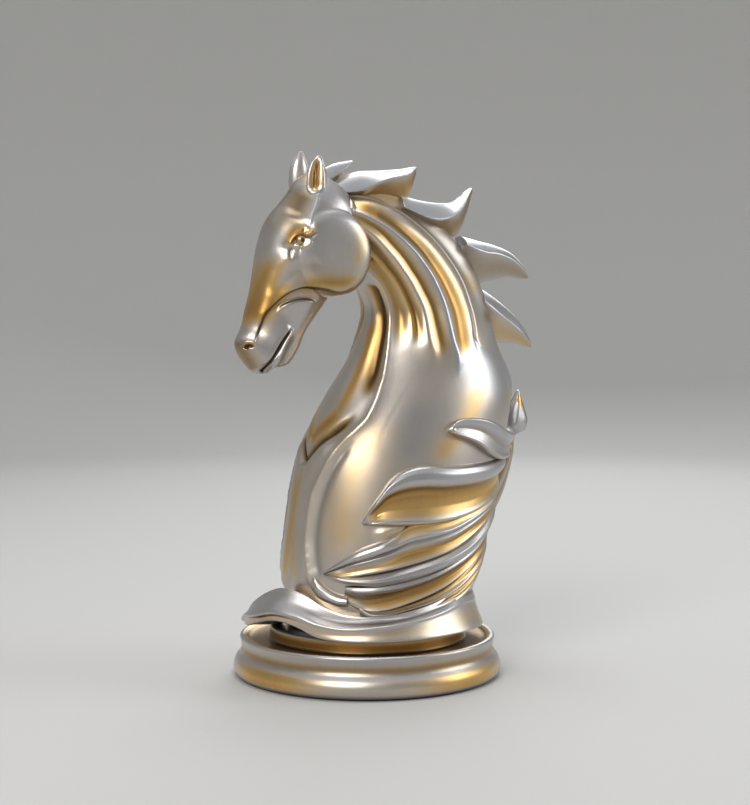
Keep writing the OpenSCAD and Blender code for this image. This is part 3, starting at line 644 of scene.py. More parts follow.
@dataclass
class Neck:
    """The horse's neck and chest: one casting with long ridges and hollows down each side."""

    sections: tuple[Section, ...] = (
        (-50, 0, 60, 0, 50), (-52, 17, 68, 17, 51), (-52, 39, 74, 39, 53), (-50, 59, 79, 59, 53),
        (-47, 81, 85, 79, 52), (-42, 103, 90, 99, 50), (-35, 123, 95, 117, 47), (-24, 142, 98.5, 137, 43),
        (-12, 160, 94, 157, 38), (-4, 176, 81, 177, 34), (0, 191, 73, 195, 30), (-5, 205, 66, 211, 27),
        (-14, 217, 55, 226, 25), (-22, 226, 40, 240, 24), (-28, 233, 22, 252, 22), (-33, 239, 2, 260, 18),
        (-37, 245, -18, 262, 12),
    )
    seam: Path = (
        (8.3, 113), (8.9, 118), (9.35, 124), (9.8, 128), (10.3, 131), (10.9, 134.5), (11.6, 138),
        (12.3, 142), (13.1, 147), (13.7, 151.5), (14.3, 158), (14.9, 163), (15.3, 166.5), (15.8, 170),
    )
    outer_ridge: Path = (
        (7.5, 91), (8.3, 92), (9.0, 92), (9.9, 91), (10.8, 92.5), (11.7, 95), (12.5, 96), (13.2, 95.5),
        (13.9, 94.5), (14.7, 93), (15.2, 93), (15.8, 91),
    )
    middle_ridge: Path = (
        (7.7, 75), (8.2, 74), (8.9, 71), (9.7, 68.5), (10.6, 67), (11.6, 68), (12.4, 69), (13.2, 70),
        (13.8, 70), (14.6, 70), (15.4, 71),
    )
    inner_ridge: Path = ((8.7, 59), (9.3, 58), (10, 56.5), (10.7, 56), (11.4, 56), (11.9, 54), (12.6, 51),
                         (13.5, 48), (14.3, 46))
    front_ridge: Path = (
        (13.4, 29), (12.7, 32), (12.0, 35), (11.3, 38), (10.8, 38), (10.1, 36), (9.5, 36), (8.7, 38),
        (8, 40), (7.5, 42), (6.9, 43), (6.3, 42), (5.9, 37), (5.6, 32), (5.2, 27), (4.7, 22), (4.3, 18.5),
        (3.9, 16.5), (2.9, 16), (2.3, 18), (1.8, 21), (1.4, 26),
    )

    rings: int = 330
    sides: int = 284
    cap: float = 0.02
    base_gilding: float = 0.14

    def __post_init__(self) -> None:
        """Makes the skin that the robe and the mane are fitted to as well."""
        self.skin = Skin(self.sections)

    def marks(self) -> tuple[Mark, ...]:
        """Carving and brushwork of one side, with painted highlights and shade; the other side mirrors it."""
        outer_valley = ((8.1, 97), (9, 104), (9.7, 107), (10.3, 108), (11.1, 108.5), (11.9, 110), (12.7, 112),
                        (13.5, 111), (14.3, 111), (14.9, 115), (15.6, 118))
        mass_root = ((9.4, 117), (10.3, 121), (11.2, 125), (12.2, 130), (13.2, 135), (14, 141))
        olive_valley = ((8.0, 81), (8.9, 81.5), (9.8, 80), (10.6, 79.5), (11.4, 80), (12.2, 82), (13, 82.5),
                        (13.8, 84), (14.6, 83), (15.6, 82))
        brown_valley = ((8.6, 65), (9.5, 61.5), (10.2, 60), (10.9, 60), (11.7, 60.5), (12.4, 60.5),
                        (13.1, 60), (14, 59), (15, 58))
        tan_valley = ((8.4, 50), (9.3, 46.5), (10.1, 45), (10.9, 45), (11.6, 45.5), (12.3, 44), (13.2, 41),
                      (14, 38))
        front_channel = ((6.9, 38), (7.3, 34), (7.8, 31), (8.6, 28), (9.3, 27), (10, 24), (10.7, 24),
                         (11.4, 27))
        breast_line = ((6.45, 33), (6.1, 27), (5.8, 20), (5.5, 13), (5.15, 5), (4.95, 0))
        band = ((5.75, 25), (5.3, 16), (4.85, 9), (4.3, 6), (3.7, 5), (3, 5), (2.3, 7), (1.7, 10), (1.2, 13))
        band_shadow = ((5.7, 38), (5.3, 33), (4.8, 28), (4.3, 25), (3.7, 23), (3, 22.5), (2.3, 25), (1.7, 29))
        cloth_corner = ((3.02, 56), (3.14, 64), (3.3, 75))
        return (
            Mark(self.seam, -0.7, -0.7, (1.2, 1.2), crisp=1.6, fade=(16, 3)),
            # Painted shade: a dark line in the seam's groove.
            wash(self.seam, 0.7, shade=0.95, fade=(16, 3)),
            Mark(self.outer_ridge, 2.4, 2.6, (5.4, 4.6), crisp=1.1, soft=0.25, fade=(22, 1)),
            # Painted highlight along the outer ridge's crest.
            wash(self.outer_ridge, 1.5, gilding=-0.5, shade=-0.6, fade=(22, 1)),
            ridge(outer_valley, -2.4, (6.0, 6.0), fade=(20, 2)),
            # Gold in the outer valley, with a little painted shade.
            wash(outer_valley, 5.0, gilding=0.72, shade=0.10, fade=(16, 10)),
            # Painted shade between the seam and the outer ridge, near the head.
            wash(((11.6, 108), (12.6, 111), (13.6, 111), (14.6, 112)), 5.0, gilding=-0.1, shade=0.42,
                 fade=(10, 2)),
            wash(mass_root, 3.0, gilding=0.20, shade=0.10, fade=(12, 6)),
            ridge(olive_valley, -2.0, (4.0, 4.4), fade=(22, 1)),
            # Gold with painted shade in the valley.
            wash(olive_valley, 4.0, gilding=0.55, shade=0.50, fade=(18, 1)),
            Mark(self.middle_ridge, 2.2, 2.2, (4.4, 4.8), crisp=1.5, soft=0.3, fade=(24, 1)),
            # Painted highlight along the middle ridge.
            wash(self.middle_ridge, 2.4, gilding=0.10, shade=-0.35, fade=(20, 1)),
            ridge(brown_valley, -2.2, (3.0, 3.2), fade=(20, 1)),
            # Gold with painted shade in the valley.
            wash(brown_valley, 2.8, gilding=0.62, shade=0.66, fade=(18, 1)),
            Mark(self.inner_ridge, 1.6, 1.6, (2.4, 2.6), crisp=1.2, soft=0.25, fade=(16, 1)),
            # Gold along the inner ridge, with a painted highlight.
            wash(self.inner_ridge, 1.5, gilding=0.42, shade=-0.3, fade=(14, 1)),
            ridge(tan_valley, -1.5, (4.0, 4.0), fade=(26, 1)),
            # Gold with painted shade in the valley.
            wash(tan_valley, 4.2, gilding=0.55, shade=0.40, fade=(24, 1)),
            Mark(self.front_ridge, 1.7, 2.5, (4.4, 3.0), crisp=1.15, soft=0.3, fade=(1, 12)),
            # Painted highlight along the front ridge.
            wash(self.front_ridge, 1.3, gilding=0.05, shade=-0.6, fade=(1, 10)),
            ridge(front_channel, -3.0, (5.5, 3.4), fade=(20, 10)),
            # Gold with painted shade in the front channel.
            wash(front_channel, 3.8, gilding=0.95, shade=0.62, fade=(16, 10)),
            wash(((6.3, 20), (7.2, 19), (8, 17), (9, 15), (10, 12)), 5.0, gilding=0.55, fade=(10, 14)),
            ridge(breast_line, -2.4, (3.4, 2.2), crisp=1.5, fade=(12, 0.01)),
            # Painted shade in the breast line's groove, over gold.
            wash(breast_line, 2.6, gilding=0.55, shade=0.85, fade=(12, 0.01)),
            ridge(band, 2.3, (8.5, 6.5), crisp=2.4, fade=(14, 8)),
            ridge(band_shadow, -1.3, (3.0, 4.5), fade=(12, 10)),
            wash(band_shadow, 2.6, gilding=-0.2, shade=0.16, fade=(12, 10)),
            wash(((6.6, 24), (6.2, 15), (5.9, 8), (5.6, 1)), 5.5, gilding=0.75, shade=0.12, fade=(12, 0.01)),
            wash(((4.9, 3), (4.4, 2), (3.8, 1), (3, 2), (2.2, 4), (1.5, 8)), 4.5, gilding=0.42, shade=0.10,
                 fade=(14, 10)),
            # Painted reflection: a broad tan patch on the lower flank.
            wash(((6.8, 54), (5.6, 46), (4.4, 41), (3.2, 40), (2.2, 44)), 15.0, gilding=0.32, crisp=1.6,
                 fade=(26, 18)),
            # Painted reflection: a greyer stripe on the flank.
            wash(((7.0, 66), (5.8, 70), (4.8, 72)), 12.0, gilding=-0.10, shade=0.10, crisp=1.6,
                 fade=(14, 14)),
            # Painted reflection: a tan patch on the upper flank.
            wash(((7.6, 104), (6.8, 104), (6.1, 98), (5.4, 90), (4.9, 84)), 8.0, gilding=0.42, fade=(12, 12)),
            # Painted highlight at the foot of the mane.
            wash(((8.5, 102), (8.3, 116), (7.9, 128), (7.3, 140)), 9.0, gilding=-0.4, shade=-0.4,
                 fade=(4, 6)),
            ridge(cloth_corner, 1.4, (2.6, 3.4), crisp=1.6, fade=(8, 2), gilding=0.25),
            # Painted highlight on the upper front of the neck.
            wash(((12.2, 30), (11.6, 28), (11.0, 26)), 3.5, gilding=-0.3, shade=-0.2, fade=(6, 6)),
        )

    def build(self) -> bpy.types.Object:
        """Builds and dresses the casting."""
        net, way, turn = sphere_net(self.rings, self.sides)
        run, shrink = capped(way, self.cap, self.cap)
        level = self.skin.last * run
        surface = Surface.of(self.skin.ring(level, turn, shrink), self.skin.normals(level, turn))
        surface.gilding += self.base_gilding
        marks = self.marks()
        places = self.skin.chart(level, np.minimum(turn, 360 - turn))
        surface.carve(marks, places, [self.skin.chart_path(mark.path) for mark in marks])
        return make_piece("neck_casting", net, surface, ("neck_shell",))


@dataclass
class Crest:
    """Mass of the mane along the back of the neck, from its seam on one side to the other."""

    neck: Neck
    foot: Path = ((6.2, 168), (7.0, 152), (7.6, 136), (8.1, 122), (8.5, 115))
    rise: Path = (
        (6.2, 3.0), (6.8, 5.0), (7.4, 6.5), (7.9, 4.2), (8.4, 3.4), (9.0, 8.0), (10.0, 10.5), (11.0, 10.5),
        (12.0, 12.0), (13.0, 10.0), (14.0, 8.0), (15.0, 7.0), (15.8, 6.0),
    )
    step: Path = ((6.2, -0.8), (8.3, -0.5), (9.1, 0.8), (15.8, 0.8))
    wedge: float = 3.2
    rings: int = 250
    sides: int = 190
    cap: float = 0.02
    tucked: float = 40.0
    lip: float = 0.06
    sunk: float = 0.86
    core: float = 0.8
    base_gilding: float = 0.10

    def build(self) -> bpy.types.Object:
        """Builds the mass as a shell that lies on the neck behind the seam."""
        net, way, turn = sphere_net(self.rings, self.sides)
        skin = self.neck.skin
        share, shrink = capped(way, self.cap, self.cap)
        edge = self.foot[:-1] + self.neck.seam[1:]
        level = edge[0][0] + (edge[-1][0] - edge[0][0]) * share
        seam = through(edge, level, 0.15)
        outer = np.clip((turn - self.tucked) / (360 - 2 * self.tucked), 0, 1)
        over = seam + (360 - 2 * seam) * outer
        shown = np.minimum(turn, 360 - turn) >= self.tucked
        crown = np.sin(math.pi * outer)
        height = through(self.step, level, 0.2) * np.minimum(1, crown / self.lip)
        height = height + through(self.rise, level, 0.3) * crown**self.wedge
        normals = skin.normals(level, over)
        raised = skin.ring(level, over) + normals * height[:, None]
        points = np.where(shown[:, None], raised, skin.ring(level, over, self.sunk))
        core = skin.ring(level, np.full(len(level), 180.0), np.full(len(level), self.core))
        points = core + (points - core) * shrink[:, None]
        surface = Surface.of(points, normals)
        surface.gilding += self.base_gilding * (2 - crown)
        marks = self.marks()
        surface.carve(marks, points[:, [0, 2]] - [0, SEAT], [np.array(mark.path) for mark in marks])
        return make_piece("mane_mass", net, surface, ("mane_crest",))

    def marks(self) -> tuple[Mark, ...]:
        """Brushwork that carries the locks' light and shade on into the mass, seen from the side."""
        return (
            wash(((-2, 264), (14, 261), (26, 257)), 4.0, gilding=0.40, shade=0.30, fade=(6, 8)),
            wash(((34, 247), (44, 243), (56, 241), (64, 246)), 3.0, gilding=0.10, shade=0.30, fade=(8, 6)),
            wash(((60, 224), (66, 221), (76, 218)), 4.0, gilding=0.10, shade=0.45, fade=(8, 8)),
            wash(((58, 216), (66, 209), (70, 200)), 6.0, gilding=0.30, fade=(6, 6)),
            wash(((70, 192), (78, 188), (87, 184)), 4.5, gilding=0.15, shade=0.50, fade=(8, 8)),
            wash(((74, 180), (84, 174), (90, 164), (98, 152)), 9.0, gilding=-0.3, shade=-0.3, fade=(4, 4)),
        )


# ---------- head ----------


@dataclass
class Head:
    """Head with its flat cheek plates, face ridge, muzzle, lips, nostrils and eyes."""

    sections: tuple[Section, ...] = (
        (-77.5, 156, -66, 156.5, 6), (-84.5, 164.5, -57.5, 158.5, 11), (-87.5, 173.5, -53, 161, 12.6),
        (-84, 181, -47.5, 169, 13), (-80, 192, -43, 179, 14.2), (-77, 204, -36, 188.5, 16.5),
        (-75, 217, -26.5, 199, 20), (-72.5, 230, -17, 208, 23.5), (-67.5, 244, -11, 218, 24.5),
        (-58, 257, -8, 232, 22.5), (-47, 270, -8, 246, 18), (-38, 276, -12, 258, 11),
    )
    cheek_centre: tuple[float, float, float] = (-32, 11, 226)
    cheek_size: tuple[float, float, float] = (25, 15, 26.5)
    eye_place: tuple[float, float, float] = (-54.6, 20.0, 233.2)
    eye_r: float = 3.4
    rings: int = 300
    sides: int = 250
    cap: float = 0.05
    chin_drop: float = 2.0
    base_paint: float = 0.05
    plate_power: int = 4
    plate_join: float = 1.8
    search: tuple[int, int] = (62, 14)

    def marks(self) -> tuple[Mark, ...]:
        """Carving and brushwork of the head seen from the side, with painted shade and highlights."""
        crease = ((-80.6, 172.0), (-78.8, 176), (-77.3, 180), (-75.8, 184), (-73, 190.3), (-68, 196.3),
                  (-62.5, 201.2), (-57, 204.2), (-51.6, 205.6), (-46, 205.2), (-39.6, 204.3), (-33, 202.8),
                  (-27, 203.2), (-20, 206))
        jaw_arc = ((-67.5, 190.5), (-63.7, 195.2), (-56.5, 198), (-50.5, 198.6), (-45, 198), (-38.5, 196))
        upper_lip = ((-77, 157.5), (-70.8, 165.2), (-67.3, 171), (-62.8, 176.8), (-57, 183))
        mouth = ((-73.4, 155.5), (-69.4, 163), (-64.2, 171.6), (-60.6, 177), (-56.6, 181.9))
        lower_lip = ((-67.4, 158), (-63.6, 168), (-60, 175.2), (-55.4, 182))
        chin_line = ((-62.6, 159.5), (-60.2, 167.5), (-56.6, 174.5), (-53, 179))
        lid = ((-61, 228.6), (-60.2, 232), (-57.6, 235.6), (-54.6, 236.9), (-51.2, 236.6), (-48.2, 238.7),
               (-44.6, 240.2))
        lower_lid = ((-59.6, 230), (-57, 229.7), (-53.8, 229.6), (-51, 231.2), (-49.6, 233.8))
        brow = ((-62.6, 227), (-61.4, 233), (-57.6, 238.2), (-52.5, 240.2), (-49.6, 242))
        forehead = ((-50.6, 240.2), (-47, 247.4), (-43.7, 253.6), (-40.4, 261.2), (-38.4, 266))
        face_band = ((-59.6, 228.5), (-62.6, 222.5), (-65.6, 217), (-69, 209.5), (-72, 201), (-75, 191.5),
                     (-78, 181.5))
        face_edge = ((-66.5, 229), (-71, 218), (-75, 206.5), (-79, 194.5), (-82.6, 184), (-84.6, 177))
        return (
            Mark(crease, 1.0, -2.3, (5.0, 8.0), crisp=1.35, soft=0.3, fade=(10, 10)),
            # Painted shade in the crease.
            wash(crease, 0.8, shade=0.9, fade=(10, 8)),
            Mark(jaw_arc, -1.0, 1.3, (2.4, 5.0), crisp=1.6, soft=0.5, fade=(8, 8)),
            # Painted shade along the jaw arc.
            wash(jaw_arc, 1.5, shade=0.42, fade=(8, 8)),
            ridge(upper_lip, 1.5, (4.2, 1.6), crisp=1.5, fade=(3, 4)),
            # Mouth groove with painted shade in it.
            ridge(mouth, -2.6, (1.1, 0.9), crisp=1.6, fade=(0.01, 4), shade=0.95),
            ridge(lower_lip, 1.2, (1.0, 1.4), crisp=1.5, fade=(1, 4)),
            # Chin groove with painted shade in it.
            ridge(chin_line, -1.1, (1.2, 1.6), fade=(3, 5), shade=0.45),
            # Nostril hollow with painted shade in it.
            ridge(((-84.6, 169.4), (-83.6, 171.2), (-81.8, 171.6), (-80.4, 170.4)), -1.7, (1.0, 0.9),
                  fade=(1, 1.5),
                  shade=0.75),
            ridge(((-85.4, 172), (-83.4, 173.8), (-80.6, 173.2), (-78.8, 170.8)), 0.8, (1.4, 1.2),
                  fade=(2, 3),
                  gilding=0.35),
            ridge(((-54.8, 233.4), (-54.0, 233.2)), -2.6, (4.4, 4.4), fade=(0.01, 0.01)),
            ridge(lid, 1.7, (1.3, 1.0), crisp=1.5, fade=(3, 6), gilding=0.75),
            # Painted shade under the upper lid.
            wash(((-60.4, 230), (-58.6, 233.6), (-55.4, 235.4), (-51.4, 235.0), (-49.2, 236.4)), 0.8,
                 shade=0.85,
                 fade=(2, 3)),
            ridge(lower_lid, 1.0, (0.9, 1.1), crisp=1.5, fade=(2, 2), gilding=0.3),
            # Tear line with painted shade.
            ridge(((-60.8, 221), (-60.8, 225.6), (-60.0, 229.4)), -0.9, (0.8, 0.8), crisp=1.5, fade=(4, 1),
                  shade=0.6),
            # Wrinkle behind the eye, with painted shade.
            ridge(((-50.4, 234.6), (-47.6, 237), (-44, 238.6)), -0.8, (0.8, 0.8), crisp=1.5, fade=(1, 4),
                  shade=0.55),
            ridge(brow, 1.1, (2.4, 1.8), crisp=1.6, fade=(5, 3), gilding=0.35),
            Mark(forehead, 2.0, 1.3, (3.4, 6.0), crisp=1.15, soft=0.3, fade=(5, 10)),
            # Painted highlight along the forehead ridge.
            wash(forehead, 1.2, gilding=-0.2, shade=-0.3, fade=(4, 6)),
            ridge(((-58, 246), (-54, 253), (-50, 260), (-46, 266)), -1.5, (5.5, 5.5), fade=(8, 8)),
            # Painted shade on the forehead's front plane, over some gold.
            wash(((-63, 232), (-60, 240), (-56, 249), (-51, 258), (-46, 266)), 7.0, gilding=0.30, shade=0.58,
                 crisp=1.6, fade=(10, 8)),
            ridge(face_band, 1.3, (4.5, 4.5), crisp=2.0, fade=(8, 10)),
            wash(face_band, 3.0, gilding=0.30, fade=(8, 8)),
            wash(face_edge, 4.6, gilding=0.70, shade=0.14, crisp=1.5, fade=(16, 14)),
            wash(((-76.4, 182.5), (-73, 192), (-68, 199.5), (-61, 205.5), (-54, 208)), 4.2, gilding=0.75,
                 crisp=1.5,
                 fade=(12, 12)),
            ridge(((-60, 219), (-65, 209), (-69.5, 199)), -0.9, (5.0, 5.0), fade=(8, 8)),
            ridge(((-64, 213), (-57, 216), (-49, 219), (-44, 223)), -0.8, (4.0, 4.0), fade=(6, 6),
                  shade=0.08),
            # Gold with painted shade along the lower edge of the cheek, above the crease.
            wash(((-62, 206), (-55, 207.4), (-46.5, 208.6), (-37.7, 208.6), (-29, 208.6), (-21, 211),
                  (-14, 216)), 5.2,
                 gilding=0.72, shade=0.34, crisp=1.5, fade=(16, 16)),
            wash(((-26, 216), (-18, 225), (-15, 237), (-19, 250)), 7.0, gilding=0.38, shade=0.06, crisp=1.6,
                 fade=(10, 12)),
            wash(((-60.5, 233.5), (-57.4, 237.6), (-53, 239.2)), 2.0, gilding=0.55, fade=(2, 2)),
            # Gold with painted shade at the foot of the ear.
            wash(((-40, 262), (-40.5, 268), (-41, 273)), 4.5, gilding=0.75, shade=0.35, fade=(4, 0.01)),
            # Gold with painted shade on the tip of the muzzle.
            wash(((-88, 176), (-86, 170), (-82, 163), (-77, 156)), 4.0, gilding=0.45, shade=0.55, crisp=1.5,
                 fade=(4, 3)),
        )

    def build(self) -> list[bpy.types.Object]:
        """Builds and dresses the head and the two eyeballs."""
        net, way, turn = sphere_net(self.rings, self.sides)
        skin = Skin(self.sections)
        run, shrink = capped(way, self.cap, self.cap)
        level = skin.last * run
        points = skin.ring(level, turn, shrink)
        points[:, 2] -= self.chin_drop * np.cos(QUARTER * np.clip(way / self.cap, 0, 1))
        points = self.swell_cheeks(skin, points, level)
        surface = Surface.of(points, self.directions(skin, level, turn))
        surface.gilding += self.base_paint
        surface.shade += self.base_paint
        marks = self.marks()
        surface.carve(marks, points[:, [0, 2]] - [0, SEAT], [np.array(mark.path) for mark in marks])
        pieces = [make_piece("head_casting", net, surface, ("head",))]
        for side, label in ((-1, "left_eye"), (1, "right_eye")):
            pieces.append(self.eyeball(label, side))
        return pieces

    def directions(self, skin: Skin, level: np.ndarray, turn: np.ndarray) -> np.ndarray:
        """Outward directions, turned to the side where the cheeks are flat."""
        out = skin.normals(level, turn)
        flat = np.clip(np.abs(np.sin(np.radians(turn))), 0, 1)[:, None] ** 2
        aside = np.column_stack([np.zeros(len(out)), np.sign(out[:, 1]), np.zeros(len(out))])
        out = out * (1 - 0.5 * flat) + aside * 0.5 * flat
        return out / np.maximum(np.linalg.norm(out, axis=1), 1e-9)[:, None]

    def swell_cheeks(self, skin: Skin, points: np.ndarray, level: np.ndarray) -> np.ndarray:
        """Pushes the skin out to the cheek plates, with a soft join.

        Args:
            skin: Skin of the head.
            points: Points of the bare skin.
            level: Level of each point.

        Returns:
            The points with the cheeks on.
        """
        middle = skin.ring(level, np.zeros(len(level)), np.zeros(len(level)))
        way = points - middle
        bare = np.maximum(np.linalg.norm(way, axis=1), 1e-6)
        way = way / bare[:, None]
        side = np.where(points[:, 1] < 0, -1.0, 1.0)
        centre = np.column_stack([np.full(len(side), self.cheek_centre[0]), side * self.cheek_centre[1],
                                  np.full(len(side), self.cheek_centre[2] + SEAT)])

        def inside(run: np.ndarray | float) -> np.ndarray:
            """Whether the places this far out along the rays lie within a plate."""
            share = np.abs(middle + way * np.reshape(run, (-1, 1)) - centre) / np.array(self.cheek_size)
            power = self.plate_power
            return np.hypot(share[:, 0], share[:, 2]) ** power + share[:, 1] ** power < 1

        furthest, halvings = self.search
        reach = np.zeros(len(points))
        for run in range(1, furthest + 1):
            reach = np.where(inside(float(run)), run, reach)
        beyond = reach + (reach > 0)
        for _ in range(halvings):
            halfway = (reach + beyond) / 2
            within = inside(halfway)
            reach, beyond = np.where(within, halfway, reach), np.where(within, beyond, halfway)
        gap = np.clip((reach - bare) / self.plate_join, -1, 1)
        joined = np.maximum(reach, bare) + self.plate_join * 0.25 * (1 - np.abs(gap)) ** 2 * (reach > 0)
        return middle + way * joined[:, None]

    def eyeball(self, name: str, side: int) -> bpy.types.Object:
        """Builds one eyeball in its socket.

        Args:
            name: Name of the piece.
            side: -1 for the horse's left, 1 for its right.

        Returns:
            The eyeball.
        """
        net = bmesh.new()
        bmesh.ops.create_uvsphere(net, u_segments=40, v_segments=24, radius=self.eye_r)
        x, y, z = self.eye_place
        bmesh.ops.rotate(net, verts=net.verts, matrix=Matrix.Rotation(QUARTER, 3, "X"))
        bmesh.ops.translate(net, verts=net.verts, vec=Vector((x, side * y, z + SEAT)))
        points = np.array([vert.co for vert in net.verts])
        surface = Surface.of(points, points)
        ahead = np.hypot(points[:, 0] - x, points[:, 2] - z - SEAT)
        surface.gilding += 0.5
        surface.shade += 0.85 * (1 - eased(0.9, 1.7, ahead)) + 0.25
        return make_piece(name, net, surface, ())


@dataclass
class Ears:
    """Two pricked ears, hollow towards the front and outer side."""

    sections: tuple[Section, ...] = (
        (-46, 0, -35, 0, 4.5), (-46.5, 6, -34, 6, 5), (-46, 13, -34, 13, 4.6), (-44, 19, -35.5, 19, 3.4),
        (-40.5, 24.5, -37.5, 24.5, 1.2),
    )
    aside: float = 12.5
    feet: tuple[float, float] = (259.0, 263.5)
    hollow: float = 3.6
    caps: tuple[float, float] = (0.04, 0.06)
    mouth: tuple[float, float] = (55, 34)
    rims: Path = ((108, 16), (2, 14), (362, 14))
    rim_rise: float = 0.6

    def build(self) -> list[bpy.types.Object]:
        """Builds the left ear and then the right one."""
        return [self.ear("left_ear_leaf", "left_ear", -1, self.feet[0]),
                self.ear("right_ear_leaf", "right_ear", 1, self.feet[1])]

    def ear(self, name: str, node: str, side: int, foot: float) -> bpy.types.Object:
        """Builds one ear.

        Args:
            name: Name of the piece.
            node: CAD node that it stands for.
            side: -1 for the horse's left, 1 for its right.
            foot: Height of its foot above the seat.

        Returns:
            The ear.
        """
        net, way, turn = sphere_net(90, 72)
        skin = Skin(self.sections)
        run, shrink = capped(way, *self.caps)
        level = skin.last * run
        surface = Surface.of(skin.ring(level, turn, shrink), skin.normals(level, turn))
        middle, width = self.mouth
        mouth = np.exp(-(((turn - middle) / width) ** 2)) * eased(0.35, 1.2, level) * eased(skin.last, 2.9,
            level)
        surface.points -= surface.normals * (self.hollow * mouth)[:, None]
        rim = sum(np.exp(-(((turn - at) / spread) ** 2)) for at, spread in self.rims)
        rim = self.rim_rise * rim * eased(0.2, 1.0, level) * eased(4.0, 3.2, level)
        surface.points += surface.normals * rim[:, None]
        # Gold in the ear's hollow, with painted shade deepest inside it.
        surface.gilding += 0.08 + 0.9 * mouth
        surface.shade += 0.45 * mouth**1.5
        surface.points[:, 1] *= -side
        surface.points += np.array([0.0, side * self.aside, foot])
        return make_piece(name, net, surface, (node,))


# ---------- mane ----------


@dataclass
class Mane:
    """Tuft behind the ears and four free locks, each a blade with a ridge along its flank."""

    neck: Neck

    def build(self) -> list[bpy.types.Object]:
        """Builds the crest mass, the tuft and the locks."""
        return [Crest(self.neck).build(), *(form.build() for form in self.forms())]

    def forms(self) -> tuple[Form, ...]:
        """The free pieces, listed as sections from the root to the tip."""
        return (
            Form("poll_tuft_blade", (
                (-31, 263, -30, 277, 4), (-24, 268, -23, 280.5, 4.5), (-15, 276, -15, 282.3, 3),
                (-10.5, 281.6, -10.5, 283, 1.2)), ("poll_tuft",), Slot.MANE, Law.BLADE, 90, 72,
                ridge_at=(0.6, 0.6, 0.6, 0.6), lower_gilding=0.45, underside_painted_shade=0.35),
            Form("lock_1_blade", (
                (-27, 262, -25, 269, 6), (-10, 260, -9, 276, 9), (8, 258, 8, 277.6, 9.5),
                (22, 257, 22, 279, 8.5),
                (30, 264, 29, 280.3, 6), (34.3, 276, 33.5, 281, 2)), ("mane_lock_1",), Slot.MANE, Law.BLADE,
                ridge_at=(0.85, 0.75, 0.34, 0.2, 0.16, 0.15), lower_gilding=0.70, underside_painted_shade=0.50, dome=0.6),
            Form("lock_2_blade", (
                (20, 253, 22, 263, 10), (38, 243, 42, 259.6, 11.5), (52, 235, 57, 259.4, 10),
                (64, 239, 64, 262.8, 8),
                (71, 252, 68.5, 266.5, 5), (75.5, 266.6, 73.4, 269.4, 1.8)), ("mane_lock_2",), Slot.MANE,
                Law.BLADE,
                ridge_at=(0.75, 0.66, 0.36, 0.24, 0.22, 0.22), lower_gilding=0.48, underside_painted_shade=0.50,
                dome=0.6),
            Form("lock_3_blade", (
                (60, 221, 66, 239, 13), (74, 210, 80, 236, 11.5), (88, 211, 92, 233.4, 9),
                (101, 213.5, 104, 229, 6.5),
                (111, 212.5, 113, 221.5, 4), (116.6, 212.7, 117.4, 215, 1.6)), ("mane_lock_3",), Slot.MANE,
                Law.BLADE, ridge_at=(0.32, 0.28, 0.26, 0.33, 0.4, 0.45), lower_gilding=0.30, underside_painted_shade=0.42,
                dome=0.6),
            Form("lock_4_blade", (
                (72, 184, 80, 207, 14), (84, 173, 92, 200, 12), (97, 171.5, 102, 193, 8.5),
                (108, 170.7, 112, 184, 6),
                (116, 168.7, 118, 175.5, 3.2), (119, 168.2, 120.2, 170.2, 1.4)), ("mane_lock_4",), Slot.MANE,
                Law.BLADE, ridge_at=(0.4, 0.38, 0.42, 0.48, 0.5, 0.5), lower_gilding=0.50, underside_painted_shade=0.16,
                dome=0.6),
        )


# ---------- robe ----------


@dataclass(frozen=True)
class Drape:
    """What a fold looks like across, from its lower edge at -1 to its upper edge at 1."""

    heights: Path
    gilding: Path = ((-1.0, 0.1), (1.0, 0.1))
    # Painted shade across the fold; by default under its lower edge, where it overhangs the flank.
    shade: Path = ((-1.0, 0.25), (-0.8, 0.0), (1.0, 0.0))


ROLL = Drape(((-1.0, 0.0), (-0.86, 0.5), (-0.5, 0.85), (0.0, 1.0), (0.5, 0.95), (0.86, 0.6), (1.0, 0.0)))


